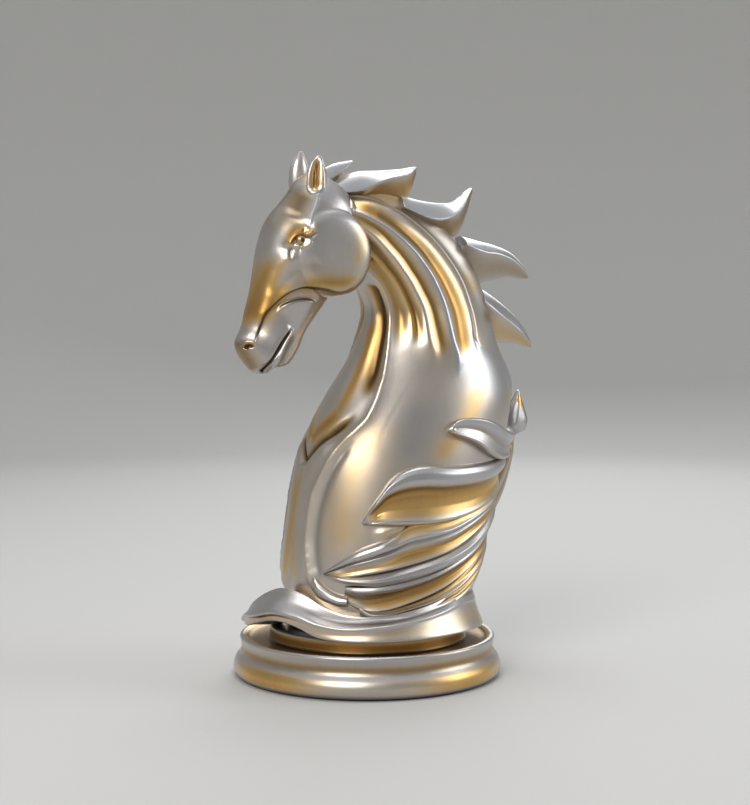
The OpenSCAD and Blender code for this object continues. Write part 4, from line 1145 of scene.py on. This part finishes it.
@dataclass
class Band:
    """Fold of the robe that lies on the flank between an upper and a lower edge.

    Both edges are (level, turn) paths on the neck. The fold starts with the drape `tip`
    and goes over to the drape `body` between the two shares of its length in `change`.
    """

    name: str
    nodes: tuple[str, ...]
    upper: Path
    lower: Path
    lifts: Path
    body: Drape
    tip: Drape = ROLL
    change: tuple[float, float] = (0.06, 0.16)
    rings: int = 170
    sides: int = 120
    under: float = 2.5
    cap: float = 0.03
    face_turns: float = 290.0

    def build(self, skin: Skin, side: int) -> bpy.types.Object:
        """Builds the fold.

        Args:
            skin: Skin of the neck that the fold lies on.
            side: -1 for the horse's left, 1 for its right.

        Returns:
            The fold.
        """
        net, way, turn = sphere_net(self.rings, self.sides)
        share, shrink = capped(way, self.cap, self.cap)
        face = self.face_turns
        outer = turn < face
        across = np.where(outer, 1 - 2 * turn / face, -1 + 2 * (turn - face) / (360 - face))
        top = skin.chart_path(self.upper)
        foot = skin.chart_path(self.lower)
        high = spline(top, share * (len(top) - 1))
        low = spline(foot, share * (len(foot) - 1))
        place = (high + low) / 2 + (high - low) / 2 * (across * shrink)[:, None]
        level, round_it = skin.unchart(place)
        base, normals = skin.ring(level, round_it), skin.normals(level, round_it)
        late = eased(*self.change, share)

        def mixed(early_pairs: Path, late_pairs: Path) -> np.ndarray:
            """Value across the fold, gone over from the tip's drape to the body's."""
            return (1 - late) * through(early_pairs, across, 0.05) + late * through(late_pairs, across, 0.05)

        lift = through(self.lifts, share, 0.04) * shrink
        height = np.where(outer, mixed(self.tip.heights, self.body.heights) * lift, -self.under)
        surface = Surface.of(base + normals * height[:, None], normals)
        surface.gilding += mixed(self.tip.gilding, self.body.gilding)
        # Painted shade from the drapes, in the creases and under the fold's lower edge.
        surface.shade += mixed(self.tip.shade, self.body.shade)
        surface.points[:, 1] *= -side
        label = "left_" if side < 0 else "right_"
        nodes = tuple(label + node for node in self.nodes)
        return make_piece(label + self.name, net, surface, nodes)


@dataclass
class Skirt:
    """Skirt round the foot of the neck, with a wave that curls up at the front left.

    Each row is a turn and then radius and height of the low edge, the ridge and the top edge.
    """

    rows: tuple[tuple[float, ...], ...] = (
        (-55, 68, 0, 68, 7, 60, 16), (-40, 72, -1, 73, 5, 66, 12), (-28, 75, -2, 77.5, 2, 74, 6),
        (-15, 75, 1, 77, 7, 72, 15), (0, 72, 6, 76, 11, 68, 24), (12, 70, 8.5, 73, 14.5, 65, 28),
        (24, 68, 6.5, 69, 13, 61.5, 25), (36, 67, 1.5, 67, 9, 59, 18.5), (50, 67, 0, 66, 7, 58.5, 14.5),
        (70, 67, 0, 65, 8, 58, 13.5), (90, 66, 0, 62.5, 10, 57.5, 16), (110, 66, 0, 61.5, 12.5, 57.5, 19.5),
        (130, 69, 0, 62.5, 15, 60, 25), (150, 71.5, -0.5, 67, 14, 65, 28), (180, 71, 0, 69, 12, 67, 28),
        (210, 71.5, -0.5, 67, 14, 65, 28), (230, 69, 0, 62.5, 15, 60, 25),
        (250, 66, 0, 61.5, 12.5, 57.5, 19.5), (270, 66, 0, 62.5, 10, 57.5, 16),
        (290, 67, 0, 65, 8, 58, 13.5), (305, 68, 0, 68, 7, 60, 16),
    )
    steps: int = 420
    sides: int = 96
    tuck: float = 20.0
    hoop: float = 10.0

    def build(self) -> bpy.types.Object:
        """Builds the skirt as a ring whose cross section follows the rows."""
        net = bmesh.new()
        upright = Matrix.Translation((self.hoop, 0, 0)) @ Matrix.Rotation(QUARTER, 4, "X")
        bmesh.ops.create_circle(net, cap_ends=False, segments=self.sides, radius=1.0, matrix=upright)
        bmesh.ops.spin(net, geom=net.verts[:] + net.edges[:], cent=(0, 0, 0), axis=(0, 0, 1),
                       angle=2 * math.pi, steps=self.steps, use_merge=True)
        bmesh.ops.remove_doubles(net, verts=net.verts, dist=1e-4)
        place = np.array([vert.co for vert in net.verts])
        table = np.array(self.rows)
        first = table[0, 0]
        turn = (np.degrees(np.arctan2(place[:, 1], place[:, 0])) + 180.0 - first) % 360.0 + first
        away = np.hypot(place[:, 0], place[:, 1]) - self.hoop
        girdle = (np.degrees(np.arctan2(place[:, 2], away)) + 180.0) / 360.0
        row = spline(table, np.interp(turn, table[:, 0], np.arange(len(table))))
        low_r, low_z, ridge_r, ridge_z, top_r, top_z = (row[:, n] for n in range(1, 7))
        inner = np.minimum(low_r, top_r) - self.tuck
        middle_r, middle_z = (ridge_r + top_r) / 2 - 1.3, ridge_z + (top_z - ridge_z) * 0.52
        # Key points of the cross section, from the inside out along the foot, up the face and back in.
        keys = np.array([
            (inner, np.maximum(low_z, 0.2) + 0.5), (low_r - 6, np.maximum(low_z, 0.2) + 0.2),
            (low_r - 1.2, np.maximum(low_z, 0)), (low_r, low_z + 0.9),
            ((low_r + ridge_r) / 2 - 0.5, (low_z + ridge_z) / 2 + 0.3), (ridge_r - 0.2, ridge_z - 0.9),
            (ridge_r - 0.4, ridge_z + 1.0), (middle_r, middle_z), (top_r, top_z - 1.3), (top_r - 0.8, top_z),
            (top_r - 2.6, top_z - 1.2), (inner, top_z - 6),
        ])
        keys = np.concatenate([keys, keys[:1]])
        face = girdle * (len(keys) - 1)
        start = np.clip(np.floor(face).astype(int), 0, len(keys) - 2)
        index = np.arange(len(place))
        wrapped = np.concatenate([keys[-2:-1], keys, keys[1:2]])
        at = between(*(wrapped[start + n, :, index] for n in range(4)), (face - start)[:, None])
        angle = np.radians(turn)
        points = np.column_stack([-at[:, 0] * np.cos(angle), -at[:, 0] * np.sin(angle), at[:, 1] + SEAT])
        surface = Surface.of(points, points)
        low_face = np.exp(-(((face - 4.0) / 0.9) ** 2))
        surface.gilding += 0.05 + 0.30 * low_face + 0.35 * np.exp(-(((face - 10.5) / 0.6) ** 2))
        surface.gilding += 0.22 * low_face * eased(20, -10, np.abs(turn - 5))
        # Painted shade: a dark line just above the ridge, the skirt's underside, and the inside of its top
        # lip where it meets the neck.
        surface.shade += 0.55 * np.exp(-(((face - 6.75) / 0.16) ** 2)) * eased(16, 40, turn)
        surface.shade += 0.5 * (face < 1.6) + 0.5 * np.exp(-(((face - 11.2) / 0.5) ** 2))
        return make_piece("robe_skirt_wave", net, surface, ("robe_skirt",))


@dataclass
class Robe:
    """Draped cloth round the lower body: folds, leaf flaps, knot, finial, hem roll and skirt."""

    neck: Neck
    full: Path = ((0.0, 2.4), (0.06, 5.2), (0.2, 7.2), (0.55, 6.8), (0.75, 4.6), (1.0, 2.8))

    def folds(self) -> tuple[Band, ...]:
        """The five folds of one flank, from the top one down."""
        return (
            Band("fold_1_cloth", ("fold_1",),
                 ((3.42, 50.5), (3.8, 54), (4.2, 58.5), (4.6, 63), (4.88, 70), (5.0, 80), (4.98, 96),
                  (5.0, 112), (5.03, 128), (5.12, 150), (5.15, 170)),
                 ((3.34, 51.5), (3.33, 55), (3.33, 59), (3.32, 64), (3.30, 72), (3.29, 81), (3.31, 92),
                  (3.4, 106),
                  (3.62, 124), (4.05, 147), (4.4, 168)), self.full,
                 Drape(((-1.0, 0.0), (-0.97, 0.42), (-0.86, 0.56), (-0.72, 0.40), (-0.4, 0.14), (0.0, 0.12),
                        (0.16, 0.26), (0.28, 0.72), (0.45, 1.0), (0.68, 1.0), (0.88, 0.72), (1.0, 0.0)),
                       ((-1.0, 0.3), (-0.9, 0.15), (-0.78, 0.25), (-0.6, 0.62), (-0.2, 0.80), (0.12, 0.95),
                        (0.28, 0.35), (0.4, 0.0), (0.8, 0.0), (1.0, 0.2)),
                       ((-1.0, 0.5), (-0.9, 0.0), (-0.2, 0.0), (0.05, 0.25), (0.2, 0.75), (0.3, 0.2),
                        (0.36, 0.0), (1.0, 0.0))),
                 change=(0.05, 0.20)),
            Band("fold_2_cloth", ("fold_2",),
                 ((1.95, 31), (2.38, 43), (2.7, 52), (2.92, 62), (3.12, 70), (3.4, 78), (3.45, 88),
                  (3.5, 100), (3.7, 114), (3.9, 128), (4.25, 148), (4.55, 168)),
                 ((1.86, 32), (1.82, 40), (1.84, 48), (1.9, 56), (1.98, 66), (2.12, 79), (2.28, 91),
                  (2.5, 105),
                  (2.85, 120), (3.2, 134), (3.6, 150), (4.0, 168)), self.full,
                 Drape(((-1.0, 0.0), (-0.95, 0.45), (-0.84, 0.58), (-0.70, 0.42), (-0.42, 0.26), (-0.2, 0.50),
                        (-0.06, 0.66), (0.02, 0.54), (0.08, 0.46), (0.18, 0.66), (0.32, 0.74), (0.48, 0.5),
                        (0.7, 0.3), (0.9, 0.34), (1.0, 0.0)),
                       ((-1.0, 0.2), (-0.88, 0.08), (-0.72, 0.55), (-0.4, 0.92), (-0.18, 0.3), (0.0, 0.05),
                        (0.35, 0.05), (0.5, 0.55), (0.7, 0.8), (1.0, 0.6)),
                       ((-1.0, 0.4), (-0.86, 0.0), (-0.5, 0.15), (-0.3, 0.2), (0.0, 0.0), (0.05, 0.75),
                        (0.12, 0.0), (0.5, 0.0), (0.85, 0.1), (1.0, 0.6))),
                 tip=Drape(((-1.0, 0.0), (-0.95, 0.45), (-0.84, 0.58), (-0.6, 0.42), (-0.3, 0.62),
                            (-0.08, 0.80), (0.02, 0.62), (0.08, 0.58), (0.2, 0.92), (0.45, 1.0), (0.7, 0.9),
                            (0.9, 0.55), (1.0, 0.0)),
                           ((-1.0, 0.2), (-0.88, 0.08), (-0.66, 0.60), (-0.4, 0.35), (-0.2, 0.05),
                            (1.0, 0.05)),
                           ((-1.0, 0.4), (-0.86, 0.0), (-0.06, 0.0), (0.05, 0.8), (0.14, 0.0), (1.0, 0.0))),
                 change=(0.30, 0.46)),
            Band("fold_3_cloth", ("fold_3",),
                 ((1.90, 32), (1.90, 42), (1.92, 52), (1.98, 62), (2.08, 72), (2.24, 84), (2.42, 97),
                  (2.68, 112), (3.0, 126), (3.4, 142), (3.75, 156), (4.05, 168)),
                 ((1.80, 33), (1.69, 43), (1.62, 54), (1.60, 64), (1.66, 74), (1.78, 86), (1.93, 97),
                  (2.15, 111),
                  (2.42, 125), (2.82, 140), (3.2, 154), (3.6, 168)), self.full,
                 Drape(((-1.0, 0.0), (-0.85, 0.45), (-0.5, 0.76), (-0.1, 0.92), (0.3, 0.86), (0.7, 0.5),
                        (1.0, 0.0)),
                       ((-1.0, 0.25), (-0.5, 0.05), (0.3, 0.0), (0.8, 0.2), (1.0, 0.3)),
                       ((-1.0, 0.7), (-0.8, 0.15), (-0.55, 0.0), (0.8, 0.0), (1.0, 0.4)))),
            Band("fold_4_cloth", ("fold_4",),
                 ((1.62, 45), (1.64, 54), (1.68, 63), (1.75, 74), (1.87, 86), (2.02, 98), (2.27, 112),
                  (2.58, 128), (3.03, 146), (3.5, 168)),
                 ((1.22, 45), (1.0, 52), (0.88, 60), (0.92, 70), (1.08, 80), (1.26, 91), (1.5, 105),
                  (1.85, 121),
                  (2.3, 142), (2.9, 168)), self.full,
                 Drape(((-1.0, 0.0), (-0.93, 0.42), (-0.82, 0.56), (-0.66, 0.40), (-0.4, 0.12), (-0.1, 0.04),
                        (0.15, 0.12), (0.38, 0.46), (0.6, 0.66), (0.82, 0.54), (1.0, 0.0)),
                       ((-1.0, 0.3), (-0.84, 0.15), (-0.68, 0.45), (-0.45, 0.95), (0.0, 0.9), (0.25, 0.5),
                        (0.45, 0.1), (0.7, 0.0), (1.0, 0.1)),
                       ((-1.0, 0.6), (-0.85, 0.0), (-0.5, 0.1), (-0.2, 0.35), (0.1, 0.72), (0.3, 0.35),
                        (0.46, 0.0), (1.0, 0.0))),
                 tip=Drape(((-1.0, 0.0), (-0.85, 0.40), (-0.6, 0.42), (-0.2, 0.30), (0.2, 0.42), (0.55, 0.62),
                            (0.85, 0.5), (1.0, 0.0)),
                           ((-1.0, 0.2), (-0.6, 0.2), (-0.1, 0.5), (0.3, 0.2), (0.6, 0.0), (1.0, 0.1)),
                           ((-1.0, 0.5), (-0.8, 0.0), (-0.4, 0.3), (0.0, 0.8), (0.3, 0.4), (0.5, 0.0),
                            (1.0, 0.0))),
                 change=(0.10, 0.30)),
            Band("fold_5_cloth", ("fold_5",),
                 ((1.12, 54), (0.98, 60), (0.98, 68), (1.08, 77), (1.22, 88), (1.42, 101), (1.75, 117),
                  (2.1, 133), (2.5, 150), (3.0, 168)),
                 ((0.72, 55), (0.55, 62), (0.50, 71), (0.58, 82), (0.72, 94), (0.90, 108), (1.1, 122),
                  (1.4, 136),
                  (1.8, 152), (2.3, 168)), self.full,
                 Drape(((-1.0, 0.0), (-0.93, 0.42), (-0.8, 0.52), (-0.66, 0.36), (-0.52, 0.30), (-0.36, 0.60),
                        (-0.2, 0.66), (-0.06, 0.40), (0.08, 0.34), (0.25, 0.66), (0.42, 0.72), (0.6, 0.42),
                        (0.8, 0.30), (1.0, 0.0)),
                       ((-1.0, 0.3), (-0.8, 0.12), (-0.58, 0.75), (-0.3, 0.15), (-0.05, 0.85), (0.2, 0.3),
                        (0.42, 0.1), (0.7, 0.75), (1.0, 0.5)),
                       ((-1.0, 0.5), (-0.85, 0.0), (-0.66, 0.2), (-0.56, 0.55), (-0.42, 0.0), (-0.1, 0.15),
                        (0.02, 0.55), (0.16, 0.0), (0.55, 0.0), (0.8, 0.45), (1.0, 0.4))),
                 change=(0.14, 0.36)),
        )

    def leaf(self) -> Band:
        """Pointed leaf flap that stands off the flank in front of the knot."""
        return Band("leaf_flap", ("leaf",),
                    ((6.08, 89), (6.3, 92), (6.42, 99), (6.42, 110), (6.3, 121), (6.1, 134), (5.95, 150)),
                    ((5.98, 89.5), (5.86, 94), (5.74, 101), (5.55, 110), (5.25, 121), (5.05, 134),
                     (5.1, 150)),
                    ((0.0, 2.4), (0.12, 4.6), (0.5, 5.4), (1.0, 6.0)),
                    Drape(((-1.0, 0.2), (-0.95, 0.75), (-0.8, 0.95), (-0.5, 0.80), (0.0, 0.70), (0.4, 0.86),
                           (0.75, 1.0), (0.92, 0.8), (1.0, 0.2)),
                          ((-1.0, 0.15), (-0.6, 0.05), (0.0, 0.1), (0.6, 0.0), (1.0, 0.1)),
                          ((-1.0, 0.6), (-0.9, 0.0), (-0.2, 0.0), (0.1, 0.34), (0.4, 0.0), (1.0, 0.2))),
                    rings=110, sides=90)

    def hem(self) -> Band:
        """Rolled hem in front of the folds, on the left side only."""
        return Band("hem_roll_tube", ("hem_roll",),
                    ((1.85, 24), (1.66, 29), (1.52, 35), (1.42, 41), (1.36, 47)),
                    ((1.50, 21.5), (1.24, 28), (1.12, 35), (1.04, 41), (1.04, 47)),
                    ((0.0, 1.4), (0.2, 3.6), (0.8, 5.0), (1.0, 4.4)),
                    Drape(((-1.0, 0.0), (-0.8, 0.55), (-0.3, 0.95), (0.1, 1.0), (0.5, 0.85), (0.85, 0.5),
                           (1.0, 0.0)),
                          ((-1.0, 0.4), (-0.5, 0.1), (0.2, 0.0), (0.8, 0.1), (1.0, 0.3)),
                          ((-1.0, 0.6), (-0.7, 0.1), (-0.5, 0.0), (0.8, 0.0), (1.0, 0.35))),
                    rings=90, sides=72, cap=0.14)

    def build(self) -> list[bpy.types.Object]:
        """Builds all of the robe."""
        skin = self.neck.skin
        pieces = [Skirt().build(), self.hem().build(skin, -1)]
        for band in (*self.folds(), self.leaf()):
            pieces += [band.build(skin, side) for side in (-1, 1)]
        pieces += [form.build() for form in self.back_forms()]
        return pieces

    def back_forms(self) -> tuple[Form, ...]:
        """Knot that gathers the folds at the back, and the finial that stands on it."""
        return (
            Form("knot_mass", (
                (66, 58, 88, 58, 7), (70, 74, 97, 74, 10), (73, 92, 103, 92, 13), (78, 106, 105.8, 106, 13.4),
                (82, 116, 105, 117, 9), (86, 120, 100, 121, 4)), ("robe_knot",), Slot.ROBE, rings=120,
                sides=110,
                marks=(
                    # Grooves of the knot, gold with painted shade in them.
                    ridge(((70, 62), (84, 78), (94, 96), (100, 112)), -1.6, (2.4, 2.4), fade=(6, 6),
                          gilding=0.5,
                          shade=0.5),
                    ridge(((78, 58), (92, 76), (101, 98), (104, 112)), -1.3, (2.0, 2.0), fade=(6, 6),
                          gilding=0.4,
                          shade=0.4),
                    # Gold with painted shade on the knot where the finial rises from it.
                    wash(((80, 116), (90, 112), (100, 110)), 6.0, gilding=0.3, shade=0.25))),
            Form("finial_flame", (
                (96, 110, 116, 116, 6), (99, 120, 117, 122, 6), (103, 129, 114.5, 130, 4.5),
                (107.5, 137, 112, 137, 2.6), (109.6, 140.6, 111, 141, 1)), ("robe_finial",), Slot.ROBE,
                rings=100,
                sides=80, marks=(
                    wash(((110, 128), (111, 134), (111, 139)), 3.2, gilding=0.85, fade=(4, 1)),
                    # Painted shade down the finial's back edge.
                    wash(((116, 117), (115, 125), (113, 132), (111.6, 139)), 1.4, shade=0.6, fade=(4, 3)),
                    ridge(((104, 116), (107, 126), (109.6, 136)), 0.9, (1.8, 2.4), crisp=1.3, fade=(4, 4)))),
        )


# ---------- plinth and underside ----------


@dataclass
class Plinth:
    """Turned plinth: foot moulding, groove, upper band, beaded rim, dished deck and collar."""

    outline: Path = (
        (0, 31), (52, 31), (58.4, 31), (59.5, 30.6), (60, 29.6), (60, 26), (60.3, 23.6), (61.6, 22.6),
        (64, 22.5), (69.5, 22.6), (72.4, 23.1), (74.2, 24.1), (75.6, 24.8), (76.8, 25), (77.8, 24.7),
        (78.4, 23.9), (78.4, 22.8), (77.9, 21.2), (77.6, 19.4), (77.5, 17.6), (77.8, 15.8), (78.5, 14.2),
        (79.6, 12.8), (80.9, 11.2), (81.9, 9.2), (82.4, 7.0), (82.3, 4.8), (81.7, 2.8), (80.9, 1.6),
        (79.6, 1), (75, 1), (73.5, 1), (73.5, 5), (66.5, 5), (66.5, 17.4), (0, 17.4),
    )
    segments: int = 288
    outside_r: float = 76.9
    deck_r: float = 76.0
    dish_r: float = 74.0
    collar_r: float = 60.0
    camera_turn: float = 62.0

    def build(self) -> bpy.types.Object:
        """Builds the plinth by turning its outline."""
        last = len(self.outline) - 1
        run = spline(np.array(self.outline), np.linspace(0, last, 3 * last + 1))
        run[:, 0] = np.maximum(run[:, 0], 0)
        net = turned(run, self.segments)
        points = np.array([vert.co for vert in net.verts])
        surface = Surface.of(points, points)
        r, z = np.hypot(points[:, 0], points[:, 1]), points[:, 2]
        turn = np.degrees(np.arctan2(-points[:, 1], -points[:, 0]))
        outside = r > self.outside_r
        deck = (r <= self.deck_r) & (r > self.collar_r - 0.2)
        collar = np.abs(r - self.collar_r) < 1
        foot = eased(1.5, 4.5, z) * eased(14, 10.5, z) * outside
        cove = np.exp(-(((z - 17.2) / 2.6) ** 2)) * outside
        band = eased(18.5, 21, z) * outside
        # Painted reflection on the foot moulding and upper band: silver where the plinth faces the camera,
        # gold 45 degrees to either side, repeating every 90 degrees.
        reflection_lobes = 0.5 - 0.5 * np.cos(np.radians(4 * (turn - self.camera_turn)))
        painted_reflection = reflection_lobes * (0.8 + 0.2 * np.cos(np.radians(3 * turn - 20)))
        surface.gilding += foot * (0.18 + 0.62 * painted_reflection) + 0.55 * cove + band * 0.15 * painted_reflection
        surface.gilding += 0.75 * (deck & (z < 28)) + 0.6 * (collar & (z < 30))
        # Painted shade in the cove, darker towards the bottom of the foot, and on the dished deck under the
        # skirt.
        surface.shade += 0.55 * cove + 0.6 * eased(4.2, 1.2,
                                                   z) + 0.62 * (deck & (r <= self.dish_r) & (z < 24.2))
        # Painted shade round the foot of the collar, under the skirt.
        surface.shade += 0.45 * np.exp(-(((r - self.collar_r - 0.5) / 2.0) ** 2)) * (z < 30)
        return make_piece("plinth_turning", net, surface, ("plinth",))


@dataclass
class Underside:
    """Pieces under and inside the horse, which keep their CAD shape and get a working finish."""

    finishes: tuple[tuple[tuple[str, ...], GrainFinish], ...] = (
        (("felt_pad",),
         GrainFinish("grey_felt", (0.05, 0.05, 0.055), (0.11, 0.11, 0.115), 900.0, roughness=0.92,
                     relief=0.5)),
        (("base_cover",),
         GrainFinish("fibre_board", (0.20, 0.12, 0.06), (0.33, 0.21, 0.12), 260.0, (1, 6, 1), roughness=0.7)),
        (("cover_screws", "body_screws", "head_dowels"),
         GrainFinish("bright_steel", (0.42, 0.42, 0.44), (0.60, 0.60, 0.62), 700.0, (1, 1, 0.2),
                     roughness=0.32,
                     metal=1.0, relief=0.05)),
        (("ballast_ring",),
         GrainFinish("cast_iron", (0.06, 0.06, 0.065), (0.14, 0.135, 0.13), 420.0, roughness=0.6, metal=0.7)),
        (("neck_plug",),
         GrainFinish("plywood_plug", (0.45, 0.32, 0.18), (0.62, 0.47, 0.30), 180.0, (1, 1, 8),
                     roughness=0.65)),
        (("neck_core",),
         GrainFinish("plaster_core", (0.60, 0.58, 0.54), (0.74, 0.72, 0.68), 150.0, roughness=0.9)),
    )

    def dress(self) -> None:
        """Gives each carried-over node its material."""
        for names, finish in self.finishes:
            for name in names:
                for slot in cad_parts[name].material_slots:
                    slot.material = finish.material()
                LOG.info("%s: %s", name, finish.name)


# ---------- studio ----------


@dataclass
class Studio:
    """Pale floor that sweeps up into a grey wall all round, soft lamps and the camera."""

    floor_r: float = 2.2
    wall_h: float = 1.9
    floor_colour: Colour = (0.50, 0.495, 0.485)
    wall_colour: Colour = (0.50, 0.495, 0.48)
    eye: tuple[float, float, float] = (-0.4695, -0.8829, 0.2235)
    heading: float = 28.281
    pitch: float = 3.25
    lens: float = 72.9
    bend_r: float = 0.7
    bend_steps: int = 16
    aim: tuple[float, float, float] = (0.02, 0.0, 0.16)
    lamps: tuple[tuple[str, tuple[float, float, float], float, float, Colour], ...] = (
        ("key", (-1.15, -0.95, 1.15), 0.9, 17.0, (1.0, 0.97, 0.93)),
        ("fill", (1.3, -0.7, 0.75), 0.8, 8.0, (0.94, 0.97, 1.0)),
        ("top", (0.15, 0.25, 1.45), 0.8, 9.0, (1.0, 1.0, 1.0)),
        ("back", (0.9, 1.1, 0.9), 0.8, 7.0, (0.96, 0.98, 1.0)),
    )
    air: tuple[float, float, float, float] = (0.93, 0.96, 1.0, 1.0)
    air_strength: float = 0.55

    def build(self) -> None:
        """Builds the whole studio."""
        self.sweep()
        for lamp in self.lamps:
            self.lamp(*lamp)
        self.world()
        self.camera()
        bpy.context.scene.view_settings.view_transform = "Standard"

    def sweep(self) -> None:
        """Builds the floor and the wall as one turned sheet."""
        bend = self.bend_r
        corner = [(self.floor_r - bend + bend * math.sin(a), bend - bend * math.cos(a))
                  for a in (QUARTER * n / self.bend_steps for n in range(self.bend_steps + 1))]
        net = turned(((0.0, 0.0), (0.5, 0.0), *corner, (self.floor_r, self.wall_h)), 96)
        bmesh.ops.recalc_face_normals(net, faces=net.faces)
        bmesh.ops.reverse_faces(net, faces=net.faces)
        mesh = bpy.data.meshes.new("studio_sweep")
        net.to_mesh(mesh)
        net.free()
        mesh.shade_smooth()
        sheet = bpy.data.objects.new("studio_sweep", mesh)
        bpy.context.collection.objects.link(sheet)
        mesh.materials.append(self.sheet_material())

    def sheet_material(self) -> bpy.types.Material:
        """Matt paper that is pale on the floor and greyer up the wall."""
        made = bpy.data.materials.new("studio_paper")
        n = Nodes(made)
        place = n.add("TexCoord").outputs["Object"]
        split = n.add("SeparateXYZ", {"Vector": place})
        x, y = split.outputs[0], split.outputs[1]
        away = n.maths("SQRT", n.maths("ADD", n.maths("MULTIPLY", x, x), n.maths("MULTIPLY", y, y)))
        share = n.maths("MULTIPLY_ADD", away, 1.25, -0.55, clamp=True)
        colour = n.blend(share, (*self.floor_colour, 1.0), (*self.wall_colour, 1.0))
        grain = n.add("TexNoise", {"Vector": place, "Scale": 300.0, "Detail": 2.0})
        rough = n.maths("MULTIPLY_ADD", grain.outputs[0], 0.1, 0.82)
        n.close(n.add("BsdfPrincipled", {"Base Color": colour, "Roughness": rough,
                                         "Specular IOR Level": 0.2}))
        return made

    def lamp(self, name: str, place: tuple[float, float, float], size: float, power: float,
             tint: Colour) -> None:
        """Adds a soft square lamp that faces the horse.

        Args:
            name: Name of the lamp.
            place: Where it hangs.
            size: Length of its side.
            power: Its power in watts.
            tint: Colour of its light.
        """
        data = bpy.data.lights.new(name, "AREA")
        data.size, data.energy, data.color = size, power, tint
        lamp = bpy.data.objects.new(name, data)
        lamp.location = place
        lamp.rotation_euler = (Vector(self.aim) - Vector(place)).to_track_quat("-Z", "Y").to_euler()
        bpy.context.collection.objects.link(lamp)

    def world(self) -> None:
        """Even grey sky behind the open top of the sweep."""
        world = bpy.data.worlds.new("studio_air")
        bpy.context.scene.world = world
        world.use_nodes = True
        air = world.node_tree.nodes["Background"]
        air.inputs["Color"].default_value = self.air
        air.inputs["Strength"].default_value = self.air_strength

    def camera(self) -> None:
        """Places the camera in front of the horse's left side."""
        data = bpy.data.cameras.new("view")
        data.sensor_width, data.sensor_fit = 36.0, "AUTO"
        data.lens = self.lens
        data.dof.use_dof = False
        view = bpy.data.objects.new("view", data)
        heading, pitch = math.radians(self.heading), math.radians(self.pitch)
        level = math.cos(pitch)
        ahead = Vector((math.sin(heading) * level, math.cos(heading) * level, -math.sin(pitch)))
        view.location = self.eye
        view.rotation_euler = ahead.to_track_quat("-Z", "Y").to_euler()
        bpy.context.collection.objects.link(view)
        bpy.context.scene.camera = view


def main() -> None:
    """Builds the studio, the horse, its robe and its plinth, and reports each piece."""
    logging.basicConfig(level=logging.INFO, format="%(name)s %(message)s")
    Studio().build()
    neck = Neck()
    neck.build()
    Head().build()
    Ears().build()
    Mane(neck).build()
    Robe(neck).build()
    Plinth().build()
    Underside().dress()


if __name__ == "__main__":
    main()
